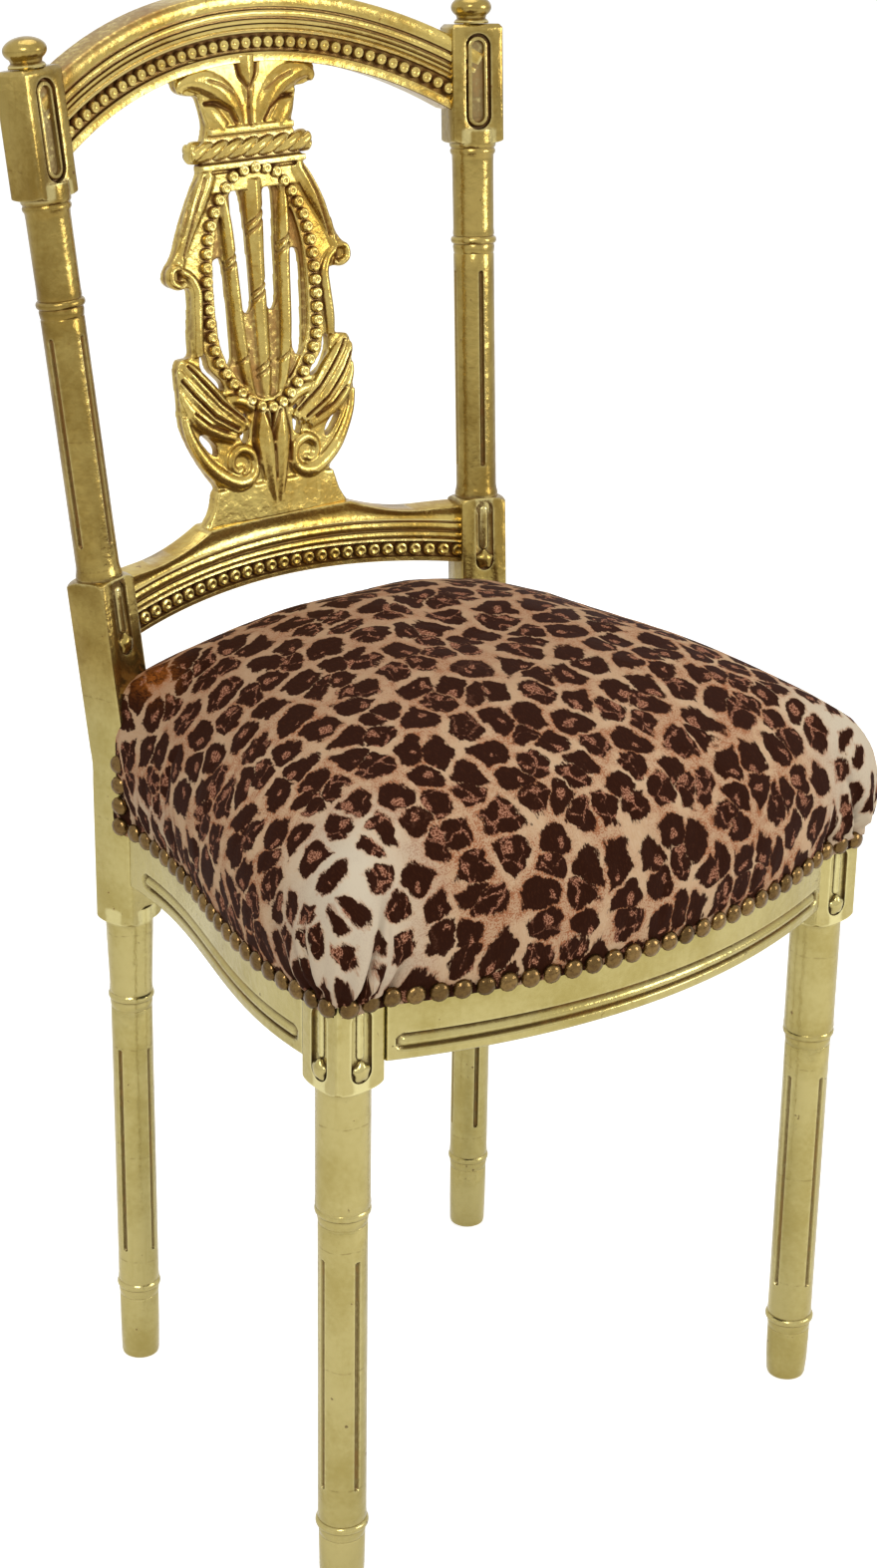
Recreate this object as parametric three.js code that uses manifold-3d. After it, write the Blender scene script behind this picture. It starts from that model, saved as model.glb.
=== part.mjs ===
// Gilt side chair with a carved lyre back and a stuffed seat nailed over its rails.
// Millimetres, +X to the right seen from the front, +Y to the back, +Z up.
import * as THREE from 'three';
import { mergeVertices } from 'three/addons/utils/BufferGeometryUtils.js';
import Module from 'manifold-3d';

const wasm = await Module();
wasm.setup();

// General
const clearance = 0.3; // gap between touching pieces
const overrun = 2; // how far a cut passes its face
const turnSides = 12; // sides of a turned piece
const arcSteps = 4; // steps of a small half round

// Seat frame
const frontSpread = 388; // between the axes of the front legs
const frameTop = 416;
const railHeight = 51;
const railThick = 24;
const frontFaceStep = 1; // the front rail stands this proud of the leg blocks
const frontBow = 36; // how far the front rail bows forward
const sideFaceInset = 1; // the side rail lies this far inside the leg block's face
const sideSweep = 52; // how far the side rail draws in on its way back
const reedRise = 6; // the reeded groove above the lower edge of the seat rails
const reedWidth = 11;
const reedDepth = 1.8;
const reedCrest = 0.5; // the reeds stay this far below the face
const reedEndInset = 5;
const tenonThick = 9;
const tenonLength = 13;
const tenonShoulder = 7; // left above and below a seat tenon

// Front legs
const legBlock = 35;
const legBlockHeight = 66;
const blockChamfer = 2;
const frontFootRadius = 12.5;
const frontLegRadius = 15;
const frontTopRadius = 16.5; // above the upper ring
const frontRingRadius = 16.9;
const frontLowRing = 47; // height of the lower ring
const frontRingDrop = 83; // the upper ring below the block
const ringBand = 3; // flat width of a bamboo ring
const ringSlope = 3; // height over which the ring rises from the leg
const shoulderHeight = 9; // where a square block turns round
const fluteWidth = 3.2;
const fluteDepth = 2.2;
const frontFluteRise = 28; // above the lower ring
const frontFluteDrop = 31; // below the upper ring

// Back legs and posts
const backSpread = 296; // between the axes of the back legs
const backLegSetback = 296; // from the front leg axes
const kneeRise = 30; // above the seat frame, where the post starts to lean
const rakeShare = 0.1152; // lean to the back per height
const splayShare = 0.0561; // lean outwards per height
const yaw = THREE.MathUtils.degToRad(18); // the posts face the middle of the bowed back
const backFootRadius = 12.5;
const backLegRadius = 13.8;
const backTopRadius = 16;
const backRingRadius = 14.6;
const backLowRing = 57; // height of the lower ring
const backRingDrop = 56; // the upper ring below the block
const backFluteRise = 29; // above the lower ring
const backFluteDrop = 38; // below the upper ring
const lowBlockWidth = 33;
const lowBlockDepth = 30;
const lowBlockDrop = 81; // the block starts this far below the top of the seat frame
const lowBlockRise = 4; // and ends this far above the ends of the cross rail
const postRadius = 13.8;
const postRingRadius = 15.2;
const postRise = 238; // turned post between its blocks
const postRingDrop = 64; // ring below the top block
const postFluteRise = 22; // above the low block
const postFluteDrop = 20; // below the ring
const topBlockWidth = 37;
const topBlockDepth = 25;
const topBlockHeight = 77;
const collarHeight = 6; // ring under the top block

// Sunk panels in the block faces
const panelDepth = 2;
const panelLand = 2.2; // groove left round the raised tongue
const tongueDrop = 0.8; // the tongue stays this far below the face
const legPanelWidth = 15;
const legPanelRise = 6; // above the bottom of the block
const legPanelHeight = 47;
const lowPanelWidth = 13;
const lowPanelDrop = 2; // below the top of the block
const lowPanelHeight = 48;
const topPanelWidth = 18;
const topPanelRise = 9; // above the bottom of the block
const topPanelDrop = 6; // below its top

// Finials
const bunRadius = 13.6;
const bunHeight = 18;
const bunNeckRadius = 11.5;
const bunNeckHeight = 2.5;
const dowelRadius = 5;
const dowelLength = 12;

// Back rails: the back is bowed, hollow side to the front
const backBow = 26;
const faceInset = 9; // rail faces in front of the post axes
const crestThick = 21;
const crestLowRadius = 294; // of the arch under the crest rail
const crestWidth = 44;
const crestSink = 13; // the middle of its underside, below the top of the posts
const crossThick = 20;
const crossRise = 120; // the middle of its underside, above the seat frame
const crossDrop = 14; // the ends hang this much lower
const crossMouldedWidth = 28; // beads and reeds
const crossShoulderRise = 13; // its top under the splat, above its ends
const crossFlareHalf = 115; // where the top edge starts to rise to the splat
const backTenonLength = 9;
const backTenonSetShare = 0.7; // of the rail's thickness, behind its face
const backTenonHeight = 22;
const railSteps = 16;

// Lyre splat
const splatSetback = 1; // behind the face of the rails
const splatThick = 10;
const splatHalf = 73; // half the widest part
const splatTenonWidth = 40;
const splatTenonDepth = 7;
const splatTenonThick = 6;
const reliefRise = 2.4; // carved parts stand this proud
const ropeRadius = 7.4;
const ropeHalf = 48;
const ropeDrop = 54; // below the crest rail
const voluteRadius = 12.5;
const voluteEyeRadius = 5;
const voluteOffset = 27;
const voluteRise = 35; // above the cross rail

// Upholstery
const strapWidth = 50;
const strapThick = 1.5;
const strapWave = 1.1; // half the rise of the weave
const strapInset = 12; // strap ends behind the rail faces
const longStrapShares = [-0.237, 0, 0.237]; // places across the seat, of the front spread
const crossStrapShares = [0.169, 0.432, 0.696]; // places on the way to the back legs
const hessianThick = 1;
const hessianInset = 5;
const coverThick = 2;
const skirtDrop = 14; // the cover hangs this far over the rails
const wrapHeight = 34; // how high the nails climb the back posts above the frame
const wrapBack = 14; // how far it wraps behind the post's front corner
const cornerRound = 3;
const cornerSteps = 3;
const crownRise = 144; // middle of the seat above the frame
const cushionBulge = 6; // how far the cushion stands out over the rails
const cushionTilt = 17; // the back edge stands this much higher, and the front edge lower
const cushionDip = 16; // the cushion is drawn down this far at the posts
const postGuard = 60; // distance over which the posts draw the cushion in and down
const cushionShares = [ // rings: share of the rise, of the bulge and of the way to the middle
  [0, 0, 0], [0.1, 0.7, 0], [0.25, 1, 0], [0.42, 0.75, 0], [0.53, 0.2, 0.005], [0.6, 0, 0.04],
  [0.7, 0, 0.14], [0.82, 0, 0.32], [0.94, 0, 0.6], [1, 0, 0.9],
];
const dustCoverThick = 1;
const dustCoverInset = 9;

// Nails
const nailPitch = 14.6;
const nailRadius = 6.3;
const nailHeight = 3.6;
const nailStripHalf = 2;
const nailStripThick = 0.8;
const nailRowDrop = 8; // nail row below the frame top, at the corners
const nailRowSag = 3; // and this much lower in the middle of the front

// Corner blocks
const braceReach = 82;
const braceHeight = 30;
const screwSeat = 12; // wood under a screw head
const frontScrewInset = 44; // screws into the front rail, from the leg axes
const frontSideScrewInset = 40; // screws into the front of the side rails
const backScrewInset = 43; // screws into the back rail, from the leg axes
const backSideScrewInset = 53; // screws into the back of the side rails
const screwRadius = 2;
const screwLength = 28;
const screwHeadRadius = 4;
const screwHeadHeight = 2.2;
const screwSides = 8;

// Finishes
const gilt = { color: 0xb9ac62, roughness: 0.38, metalness: 0.7 };
const richGilt = { color: 0xb98f35, roughness: 0.4, metalness: 0.75 };
const bareWood = { color: 0xb08a58, roughness: 0.8, metalness: 0 };
const steel = { color: 0x9a9a98, roughness: 0.35, metalness: 1 };
const jute = { color: 0xa58a5c, roughness: 0.95, metalness: 0 };
const wadding = { color: 0xded2b8, roughness: 1, metalness: 0 };
const leopard = { color: 0xc79a70, roughness: 0.85, metalness: 0 };
const brass = { color: 0x7d6336, roughness: 0.4, metalness: 0.9 };
const blackCloth = { color: 0x1c1b1a, roughness: 0.95, metalness: 0 };

// Derived places
const frontLegX = frontSpread / 2;
const backLegX = backSpread / 2;
const railBottom = frameTop - railHeight;
const reedBottom = railBottom + reedRise;
const legBlockBottom = frameTop - legBlockHeight;
const frontHighRing = legBlockBottom - frontRingDrop;
const kneeHeight = frameTop + kneeRise;
const lowBlockBottom = frameTop - lowBlockDrop;
const backHighRing = lowBlockBottom - backRingDrop;
const crossBottom = frameTop + crossRise;
const crossEndTop = crossBottom + crossMouldedWidth;
const crossShoulderTop = crossEndTop + crossShoulderRise;
const lowBlockTop = crossEndTop + lowBlockRise;
const topBlockBottom = lowBlockTop + postRise;
const topBlockTop = topBlockBottom + topBlockHeight;
const postRing = topBlockBottom - postRingDrop;
const crestUnderside = topBlockTop - crestSink;
const ropeHeight = crestUnderside - ropeDrop;
const voluteHeight = crossShoulderTop + voluteRise;
const longStraps = longStrapShares.map((share) => share * frontSpread);
const crossStraps = crossStrapShares.map((share) => share * backLegSetback);
const frontRailEnd = frontLegX - legBlock / 2;
const frontRailFace = -legBlock / 2 - frontFaceStep;
const sideRailFace = frontLegX + legBlock / 2 - sideFaceInset;
const sideRailFrom = legBlock / 2;
const cornerReach = Math.hypot(lowBlockWidth, lowBlockDepth) / 2;
const sideRailTo = backLegSetback - lowBlockDepth / 2;
const backRailFace = backLegSetback + railThick / 2;
const rakeStretch = Math.hypot(1, rakeShare, splayShare);

const chair = new THREE.Group();

// Solids

// A closed geometry as a solid, turned outside out where needed.
function solid(geometry) {
  const bare = geometry.index ? geometry.toNonIndexed() : geometry.clone();
  bare.deleteAttribute('normal');
  bare.deleteAttribute('uv');
  const merged = mergeVertices(bare);
  const index = merged.index.array;
  const corners = merged.attributes.position;
  const kept = [];
  let volume = 0;
  const [a, b, c] = [new THREE.Vector3(), new THREE.Vector3(), new THREE.Vector3()];
  for (let i = 0; i < index.length; i += 3) {
    const [p, q, r] = [index[i], index[i + 1], index[i + 2]];
    if (p === q || q === r || r === p) continue;
    kept.push(p, q, r);
    a.fromBufferAttribute(corners, p);
    b.fromBufferAttribute(corners, q);
    c.fromBufferAttribute(corners, r);
    volume += a.dot(b.cross(c));
  }
  if (volume < 0) kept.reverse();
  return new wasm.Manifold(new wasm.Mesh({
    numProp: 3,
    vertProperties: new Float32Array(corners.array),
    triVerts: new Uint32Array(kept),
  }));
}

function join(first, ...others) {
  return others.reduce((whole, next) => whole.add(next), first);
}

function cut(first, ...tools) {
  return tools.reduce((whole, tool) => whole.subtract(tool), first);
}

// A solid as a named mesh of the chair.
function piece(name, body, finish) {
  const mesh = body.getMesh();
  const corners = [];
  for (const at of mesh.triVerts) {
    for (let axis = 0; axis < 3; axis += 1) corners.push(mesh.vertProperties[at * mesh.numProp + axis]);
  }
  const geometry = new THREE.BufferGeometry();
  geometry.setAttribute('position', new THREE.Float32BufferAttribute(corners, 3));
  geometry.computeVertexNormals();
  const made = new THREE.Mesh(geometry, new THREE.MeshStandardMaterial(finish));
  made.name = name;
  chair.add(made);
  return made;
}

// A box between two corners, in a frame of its own.
function block(low, high, frame = new THREE.Matrix4()) {
  const [from, to] = [new THREE.Vector3(...low), new THREE.Vector3(...high)];
  const size = to.clone().sub(from);
  const middle = from.add(to).multiplyScalar(1 / 2);
  const geometry = new THREE.BoxGeometry(size.x, size.y, size.z);
  geometry.translate(middle.x, middle.y, middle.z);
  return solid(geometry.applyMatrix4(frame));
}

// A flat outline raised from one height to another.
function slab(shape, from, to, frame = new THREE.Matrix4(), curveSegments = arcSteps) {
  const geometry = new THREE.ExtrudeGeometry(shape, {
    depth: to - from,
    bevelEnabled: false,
    curveSegments,
  });
  geometry.translate(0, 0, from);
  return solid(geometry.applyMatrix4(frame));
}

// A turned piece about Z from radius and height pairs.
function turned(profile, frame = new THREE.Matrix4(), sides = turnSides) {
  const outline = profile.map(([radius, height]) => new THREE.Vector2(radius, height));
  outline.unshift(new THREE.Vector2(0, outline[0].y));
  outline.push(new THREE.Vector2(0, outline[outline.length - 1].y));
  const geometry = new THREE.LatheGeometry(outline, sides);
  geometry.rotateX(Math.PI / 2);
  return solid(geometry.applyMatrix4(frame));
}

// A closed skin over rings of points. The flat outline of a ring tells how its ends are capped.
function loft(rings, outline) {
  const count = outline.length;
  const index = [];
  for (let ring = 0; ring < rings.length - 1; ring += 1) {
    for (let at = 0; at < count; at += 1) {
      const [a, b] = [ring * count + at, ring * count + (at + 1) % count];
      index.push(a, b, b + count, a, b + count, a + count);
    }
  }
  const clockwise = THREE.ShapeUtils.isClockWise(outline);
  const last = (rings.length - 1) * count;
  for (const face of THREE.ShapeUtils.triangulateShape(outline, [])) {
    const turn = THREE.ShapeUtils.isClockWise(face.map((at) => outline[at])) === clockwise;
    const [a, b, c] = turn ? face : [...face].reverse();
    index.push(c, b, a, last + a, last + b, last + c);
  }
  const geometry = new THREE.BufferGeometry();
  const corners = rings.flat().flatMap((point) => [point.x, point.y, point.z]);
  geometry.setAttribute('position', new THREE.Float32BufferAttribute(corners, 3));
  geometry.setIndex(index);
  return solid(geometry);
}

// A section carried along stations. place(station, point) gives the point in space.
function carried(section, stations, place) {
  const outline = section.map(([across, up]) => new THREE.Vector2(across, up));
  return loft(stations.map((at) => section.map((point) => place(at, point))), outline);
}

function spaced(from, to, steps) {
  return Array.from({ length: steps + 1 }, (_, at) => from + (to - from) * at / steps);
}

// An upright stadium outline about the middle of its width.
function stadium(width, from, to) {
  const radius = width / 2;
  const shape = new THREE.Shape();
  shape.absarc(0, to - radius, radius, 0, Math.PI);
  shape.absarc(0, from + radius, radius, Math.PI, 2 * Math.PI);
  return shape;
}

// Moves a shape drawn across and up onto an upright face. Depth runs out of the face.
function onFace(distance, turn, frame = new THREE.Matrix4()) {
  const upright = new THREE.Matrix4().makeRotationX(Math.PI / 2);
  const out = new THREE.Matrix4().makeTranslation(0, -distance, 0);
  const about = new THREE.Matrix4().makeRotationZ(turn);
  return frame.clone().multiply(about).multiply(out).multiply(upright);
}

// A sunk stadium panel with a raised tongue, cut in a face.
function sinkPanel(body, width, from, to, face) {
  const pocket = slab(stadium(width, from, to), -panelDepth, overrun, face);
  const inset = panelLand;
  const tongue = slab(
    stadium(width - 2 * inset, from + inset, to - inset), -panelDepth - tongueDrop, -tongueDrop, face);
  return cut(body, cut(pocket, tongue));
}

// Four flutes round a turned stretch.
function flutes(radius, from, to, frame = new THREE.Matrix4()) {
  const outline = stadium(fluteWidth, from, to);
  return [0, 1, 2, 3].map((quarter) => {
    const face = onFace(radius - fluteDepth, quarter * Math.PI / 2, frame);
    return slab(outline, 0, fluteDepth + overrun, face, 2);
  });
}

// The heights and radii of a bamboo ring between two radii of the leg.
function ring(height, below, radius, above) {
  const flat = ringBand / 2;
  const slope = flat + ringSlope;
  return [
    [below, height - slope],
    [radius, height - flat],
    [radius, height + flat],
    [above, height + slope],
  ];
}

// A square outline with chamfered corners.
function squareOutline(width, depth, grow = 0) {
  const [x, y] = [width / 2 + grow, depth / 2 + grow];
  const c = blockChamfer;
  return [
    [x, -y + c], [x, y - c], [x - c, y], [-x + c, y],
    [-x, y - c], [-x, -y + c], [-x + c, -y], [x - c, -y],
  ];
}

function shapeOf(points) {
  return new THREE.Shape(points.map(([x, y]) => new THREE.Vector2(x, y)));
}

// A round turned envelope that shapes the end of a square block. It widens from one end.
function shoulder(radius, reach, from, to, frame) {
  const height = Math.sign(to - from) * shoulderHeight;
  const round = spaced(0, 1, 3).map((share) => [
    radius + (reach - radius) * Math.sin(share * Math.PI / 2),
    from + height * (1 - Math.cos(share * Math.PI / 2)),
  ]);
  return turned([...round, [reach, to]], frame);
}

// Frames

function frontLegFrame(side) {
  return new THREE.Matrix4().makeTranslation(side * frontLegX, 0, 0);
}

// The leg stands upright below the knee, and its square faces turn to the middle.
function backLegFrame(side) {
  const place = new THREE.Matrix4().makeTranslation(side * backLegX, backLegSetback, 0);
  return place.multiply(new THREE.Matrix4().makeRotationZ(-side * yaw));
}

// The post leans from the knee. Its own height runs along its axis from the knee.
function postFrame(side) {
  const axis = new THREE.Vector3(side * splayShare, rakeShare, 1).normalize();
  const lean = new THREE.Quaternion().setFromUnitVectors(new THREE.Vector3(0, 0, 1), axis);
  const place = new THREE.Matrix4().makeTranslation(side * backLegX, backLegSetback, kneeHeight);
  place.multiply(new THREE.Matrix4().makeRotationFromQuaternion(lean));
  return place.multiply(new THREE.Matrix4().makeRotationZ(-side * yaw));
}

function alongPost(height) {
  return (height - kneeHeight) * rakeStretch;
}

// The bowed face that both back rails follow.
function backHalf(height) {
  return backLegX + splayShare * (height - kneeHeight);
}

function backFace(x, height) {
  const bow = backBow * (1 - (x / backHalf(height)) ** 2);
  return backLegSetback + rakeShare * (height - kneeHeight) - faceInset + bow;
}

// Seat rails

function frontRailY(x) {
  return frontRailFace - frontBow * (1 - (x / frontRailEnd) ** 2);
}

function sideRailX(y) {
  const share = THREE.MathUtils.clamp((y - sideRailFrom) / (sideRailTo - sideRailFrom), 0, 1);
  return sideRailFace - sideSweep * (1 - Math.cos(share * Math.PI)) / 2;
}

// The groove with two reeds near the lower edge, as depth and height pairs.
function reedSection() {
  const rise = spaced(reedBottom, reedBottom + reedWidth, 4);
  return [
    [-overrun, rise[0]], [reedDepth, rise[0]], [reedCrest, rise[1]], [reedDepth, rise[2]],
    [reedCrest, rise[3]], [reedDepth, rise[4]], [-overrun, rise[4]],
  ];
}

function plainSection(thick, bottom, top, grow = 0) {
  return [
    [-grow, bottom - grow], [thick + grow, bottom - grow], [thick + grow, top + grow], [-grow, top + grow],
  ];
}

const frontPlace = (x, [depth, height]) => new THREE.Vector3(x, frontRailY(x) + depth, height);

function sidePlace(side) {
  return (y, [depth, height]) => new THREE.Vector3(side * (sideRailX(y) - depth), y, height);
}

// The rails and the seat plan share these places, so that their faces run alike.
const frontStations = spaced(0, frontRailEnd, 6);
const sideStations = spaced(sideRailFrom, sideRailTo - lowBlockDepth / 2, 8);

function frontRailBody(grow = 0) {
  const end = frontRailEnd - clearance + grow;
  const half = [...frontStations.slice(1, -1), end];
  const section = plainSection(railThick, railBottom, frameTop, grow);
  const stations = [...half.map((x) => -x).reverse(), 0, ...half];
  return carried(section, stations, frontPlace);
}

function sideRailBody(side, grow = 0) {
  const stations = [sideRailFrom + clearance - grow, ...sideStations.slice(1), backLegSetback];
  const section = plainSection(railThick, railBottom, frameTop, grow);
  return cut(carried(section, stations, sidePlace(side)), lowBlock(side, clearance));
}

const tenonBottom = railBottom + tenonShoulder;
const tenonTop = frameTop - tenonShoulder;
const frontTenonY = frontRailFace + railThick / 2;
const sideTenonX = sideRailFace - railThick / 2;
const sideBackTenonX = sideRailFace - sideSweep - railThick / 2;

// Seat tenons. A mortise is the same box, grown by the clearance.
function frontTenon(side, grow = 0) {
  const [inner, outer] = [frontRailEnd - overrun, frontRailEnd + tenonLength + grow];
  const half = tenonThick / 2 + grow;
  return block(
    [side < 0 ? -outer : inner, frontTenonY - half, tenonBottom - grow],
    [side < 0 ? -inner : outer, frontTenonY + half, tenonTop + grow]);
}

function sideFrontTenon(side, grow = 0) {
  const half = tenonThick / 2 + grow;
  const x = side * sideTenonX;
  return block(
    [x - half, sideRailFrom - tenonLength - grow, tenonBottom - grow],
    [x + half, sideRailFrom + overrun, tenonTop + grow]);
}

function sideBackTenon(side, grow = 0) {
  const half = tenonThick / 2 + grow;
  const x = side * sideBackTenonX;
  return block(
    [x - half, sideRailTo - cornerReach + lowBlockDepth / 2, tenonBottom - grow],
    [x + half, sideRailTo + tenonLength - overrun + grow, tenonTop + grow]);
}

const backTenonFrom = backLegX - lowBlockWidth / 2 - overrun;
const backTenonY = backLegSetback + tenonThick / 3;

function backTenon(side, grow = 0) {
  const [inner, outer] = [backTenonFrom, backTenonFrom + tenonLength + grow];
  const half = tenonThick / 2 + grow;
  return block(
    [side < 0 ? -outer : inner, backTenonY - half, tenonBottom - grow],
    [side < 0 ? -inner : outer, backTenonY + half, tenonTop + grow]);
}

// Posts

// The square block is bent at the knee, so it is one skin over three rings.
function lowBlock(side, grow = 0) {
  const points = squareOutline(lowBlockWidth, lowBlockDepth, grow);
  const outline = points.map(([x, y]) => new THREE.Vector2(x, y));
  const below = backLegFrame(side);
  const above = postFrame(side);
  const ringAt = (frame, height) => points.map(([x, y]) => new THREE.Vector3(x, y, height).applyMatrix4(frame));
  return loft([
    ringAt(below, lowBlockBottom - grow),
    ringAt(below, kneeHeight),
    ringAt(above, alongPost(lowBlockTop) + grow),
  ], outline);
}

function topBlock(side, grow = 0) {
  const points = squareOutline(topBlockWidth, topBlockDepth, grow);
  const [from, to] = [alongPost(topBlockBottom) - grow, alongPost(topBlockTop) + grow];
  return slab(shapeOf(points), from, to, postFrame(side));
}

// Tenon of a back rail, along X at one height, into a block of a width.
function railTenon(side, height, blockWidth, grow = 0) {
  const x = backHalf(height);
  const y = backFace(x, height) + crossThick * backTenonSetShare;
  const inner = x - blockWidth / 2 - overrun;
  const outer = inner + backTenonLength + overrun + grow;
  const half = tenonThick / 2 + grow;
  const up = backTenonHeight / 2 + grow;
  return block(
    [side < 0 ? -outer : inner, y - half, height - up],
    [side < 0 ? -inner : outer, y + half, height + up]);
}

const crestTenonHeight = (topBlockBottom + topBlockTop) / 2 + panelDepth;
const crossTenonHeight = (crossBottom - crossDrop + crossEndTop) / 2;

function makeFrontLeg(side) {
  const frame = frontLegFrame(side);
  const slimmer = frontLegRadius - ringBand / 6;
  const leg = turned([
    [frontFootRadius, 0],
    [slimmer, overrun],
    ...ring(frontLowRing, slimmer, frontRingRadius - ringBand / 6, frontLegRadius),
    ...ring(frontHighRing, frontLegRadius, frontRingRadius, frontTopRadius),
    [frontTopRadius, legBlockBottom + shoulderHeight],
  ], frame);
  const square = slab(shapeOf(squareOutline(legBlock, legBlock)), legBlockBottom, frameTop, frame);
  const reach = legBlock / Math.SQRT2;
  const shaped = square.intersect(
    shoulder(frontTopRadius, reach, legBlockBottom, frameTop + overrun, frame));
  let body = join(leg, shaped);
  for (const turn of [0, side * Math.PI / 2]) {
    const face = onFace(legBlock / 2, turn, frame);
    const from = legBlockBottom + legPanelRise;
    body = sinkPanel(body, legPanelWidth, from, from + legPanelHeight, face);
  }
  return cut(
    body,
    ...flutes(frontLegRadius, frontLowRing + frontFluteRise, frontHighRing - frontFluteDrop, frame),
    frontTenon(side, clearance),
    sideFrontTenon(side, clearance));
}

function dowelHole(side, grow = 0) {
  const top = alongPost(topBlockTop);
  const radius = dowelRadius + grow;
  const profile = [[radius, top - dowelLength - grow], [radius, top + overrun]];
  return turned(profile, postFrame(side));
}

function makeBackPost(side) {
  const [below, above] = [backLegFrame(side), postFrame(side)];
  const slimmer = backLegRadius - ringBand / 6;
  const leg = turned([
    [backFootRadius, 0],
    [slimmer, overrun],
    ...ring(backLowRing, slimmer, backRingRadius - ringBand / 6, backLegRadius),
    ...ring(backHighRing, backLegRadius, backRingRadius, backLegRadius),
    [backTopRadius, lowBlockBottom],
    [backTopRadius, lowBlockBottom + shoulderHeight],
  ], below);
  const collar = alongPost(topBlockBottom) - collarHeight;
  const post = turned([
    [postRadius, alongPost(lowBlockTop) - shoulderHeight],
    ...ring(alongPost(postRing), postRadius, postRingRadius, postRadius),
    ...ring(collar, postRadius, postRingRadius, postRadius + ringBand / 3),
    [postRingRadius, alongPost(topBlockBottom)],
    [postRingRadius, alongPost(topBlockBottom) + shoulderHeight],
  ], above);
  const reach = cornerReach;
  const lowEnd = lowBlock(side).intersect(join(
    shoulder(backTopRadius, reach, lowBlockBottom, kneeHeight + overrun, below),
    shoulder(postRadius, reach, alongPost(lowBlockTop), -overrun, above)));
  const highReach = topBlockWidth / Math.SQRT2;
  const head = topBlock(side).intersect(
    shoulder(postRingRadius, highReach, alongPost(topBlockBottom), alongPost(topBlockTop) + overrun, above));
  let body = join(leg, lowEnd, post, head);
  const lowFace = onFace(lowBlockDepth / 2, 0, above);
  const lowPanelTop = alongPost(lowBlockTop) - lowPanelDrop;
  body = sinkPanel(body, lowPanelWidth, lowPanelTop - lowPanelHeight, lowPanelTop, lowFace);
  const topFace = onFace(topBlockDepth / 2, 0, above);
  const topPanelFrom = alongPost(topBlockBottom) + topPanelRise;
  const topPanelTo = alongPost(topBlockTop) - topPanelDrop;
  body = sinkPanel(body, topPanelWidth, topPanelFrom, topPanelTo, topFace);
  return cut(
    body,
    ...flutes(backLegRadius, backLowRing + backFluteRise, backHighRing - backFluteDrop, below),
    ...flutes(
      postRadius, alongPost(lowBlockTop + postFluteRise), alongPost(postRing - postFluteDrop), above),
    sideBackTenon(side, clearance),
    backTenon(side, clearance),
    railTenon(side, crossTenonHeight, lowBlockWidth, clearance),
    railTenon(side, crestTenonHeight, topBlockWidth, clearance),
    dowelHole(side, clearance));
}

function makeFinial(side) {
  const seat = alongPost(topBlockTop) + clearance;
  const bun = spaced(-1, 1, 6).map((share) => {
    const angle = share * Math.PI / 2;
    const middle = seat + bunNeckHeight + (bunHeight - bunNeckHeight) / 2;
    const radius = Math.max(bunRadius * Math.cos(angle), share < 0 ? bunNeckRadius : 0);
    return [radius, middle + Math.sin(angle) * (bunHeight - bunNeckHeight) / 2];
  });
  const profile = [[dowelRadius, seat - dowelLength], [dowelRadius, seat], [bunNeckRadius, seat], ...bun];
  return turned(profile, postFrame(side));
}

// Seat rails and their corner braces

function makeFrontRail() {
  const end = frontRailEnd - reedEndInset;
  const half = [...frontStations.slice(1, -1), end];
  const stations = [...half.map((x) => -x).reverse(), 0, ...half];
  const groove = carried(reedSection(), stations, frontPlace);
  const holes = [-1, 1].map((side) => screwHole(screwFrames(side).front[0]));
  return cut(join(frontRailBody(), frontTenon(-1), frontTenon(1)), groove, ...holes);
}

function makeSideRail(side) {
  const end = sideRailTo - lowBlockDepth / 2 - reedEndInset;
  const stations = [sideRailFrom + reedEndInset, ...sideStations.slice(1, -1), end];
  const groove = carried(reedSection(), stations, sidePlace(side));
  const tenons = [sideFrontTenon(side), sideBackTenon(side)];
  const screws = screwFrames(side);
  const holes = [screws.front[1], screws.back[1]].map(screwHole);
  return cut(join(sideRailBody(side), ...tenons), groove, ...holes);
}

function makeBackRail() {
  const rail = block(
    [-backLegX, backRailFace - railThick, railBottom], [backLegX, backRailFace, frameTop]);
  const sideRails = [-1, 1].map((side) => sideRailBody(side, clearance));
  const seated = cut(rail, ...postsGrown(clearance), ...sideRails);
  const holes = [-1, 1].map((side) => screwHole(screwFrames(side).back[0]));
  return cut(join(seated, backTenon(-1), backTenon(1)), ...holes);
}

// Back rails

const crestCentre = crestUnderside - crestLowRadius;

// The crest section, as depth behind the face and distance above the lower edge.
function crestSection() {
  const w = crestWidth;
  const shares = [
    [0, 0], [0, 0.14], [0.16, 0.16], [0.16, 0.38], [0, 0.41], [-0.06, 0.48], [0.06, 0.55],
    [-0.03, 0.64], [0.06, 0.73], [-0.07, 0.78], [-0.08, 0.95], [0.02, 1], [0.94, 1], [1, 0.93], [1, 0.04],
    [0.96, 0],
  ];
  return shares.map(([depthShare, riseShare]) => [depthShare * crestThick, riseShare * w]);
}

function crestPlace(angle, [depth, rise]) {
  const radius = crestLowRadius + rise;
  const [x, z] = [radius * Math.sin(angle), crestCentre + radius * Math.cos(angle)];
  return new THREE.Vector3(x, backFace(x, z) + depth, z);
}

function crestBody() {
  const end = Math.asin(backHalf(crestTenonHeight) / (crestLowRadius + crestWidth / 2));
  const rail = carried(crestSection(), spaced(-end, end, railSteps), crestPlace);
  return cut(rail, topBlock(-1, clearance), topBlock(1, clearance));
}

function makeCrestRail() {
  const tenons = [-1, 1].map((side) => railTenon(side, crestTenonHeight, topBlockWidth));
  return cut(join(crestBody(), ...tenons), splatTenon(crestUnderside, 1, clearance));
}

function crossUnderside(x) {
  return crossBottom - crossDrop * (x / backHalf(crossBottom)) ** 2;
}

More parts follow.
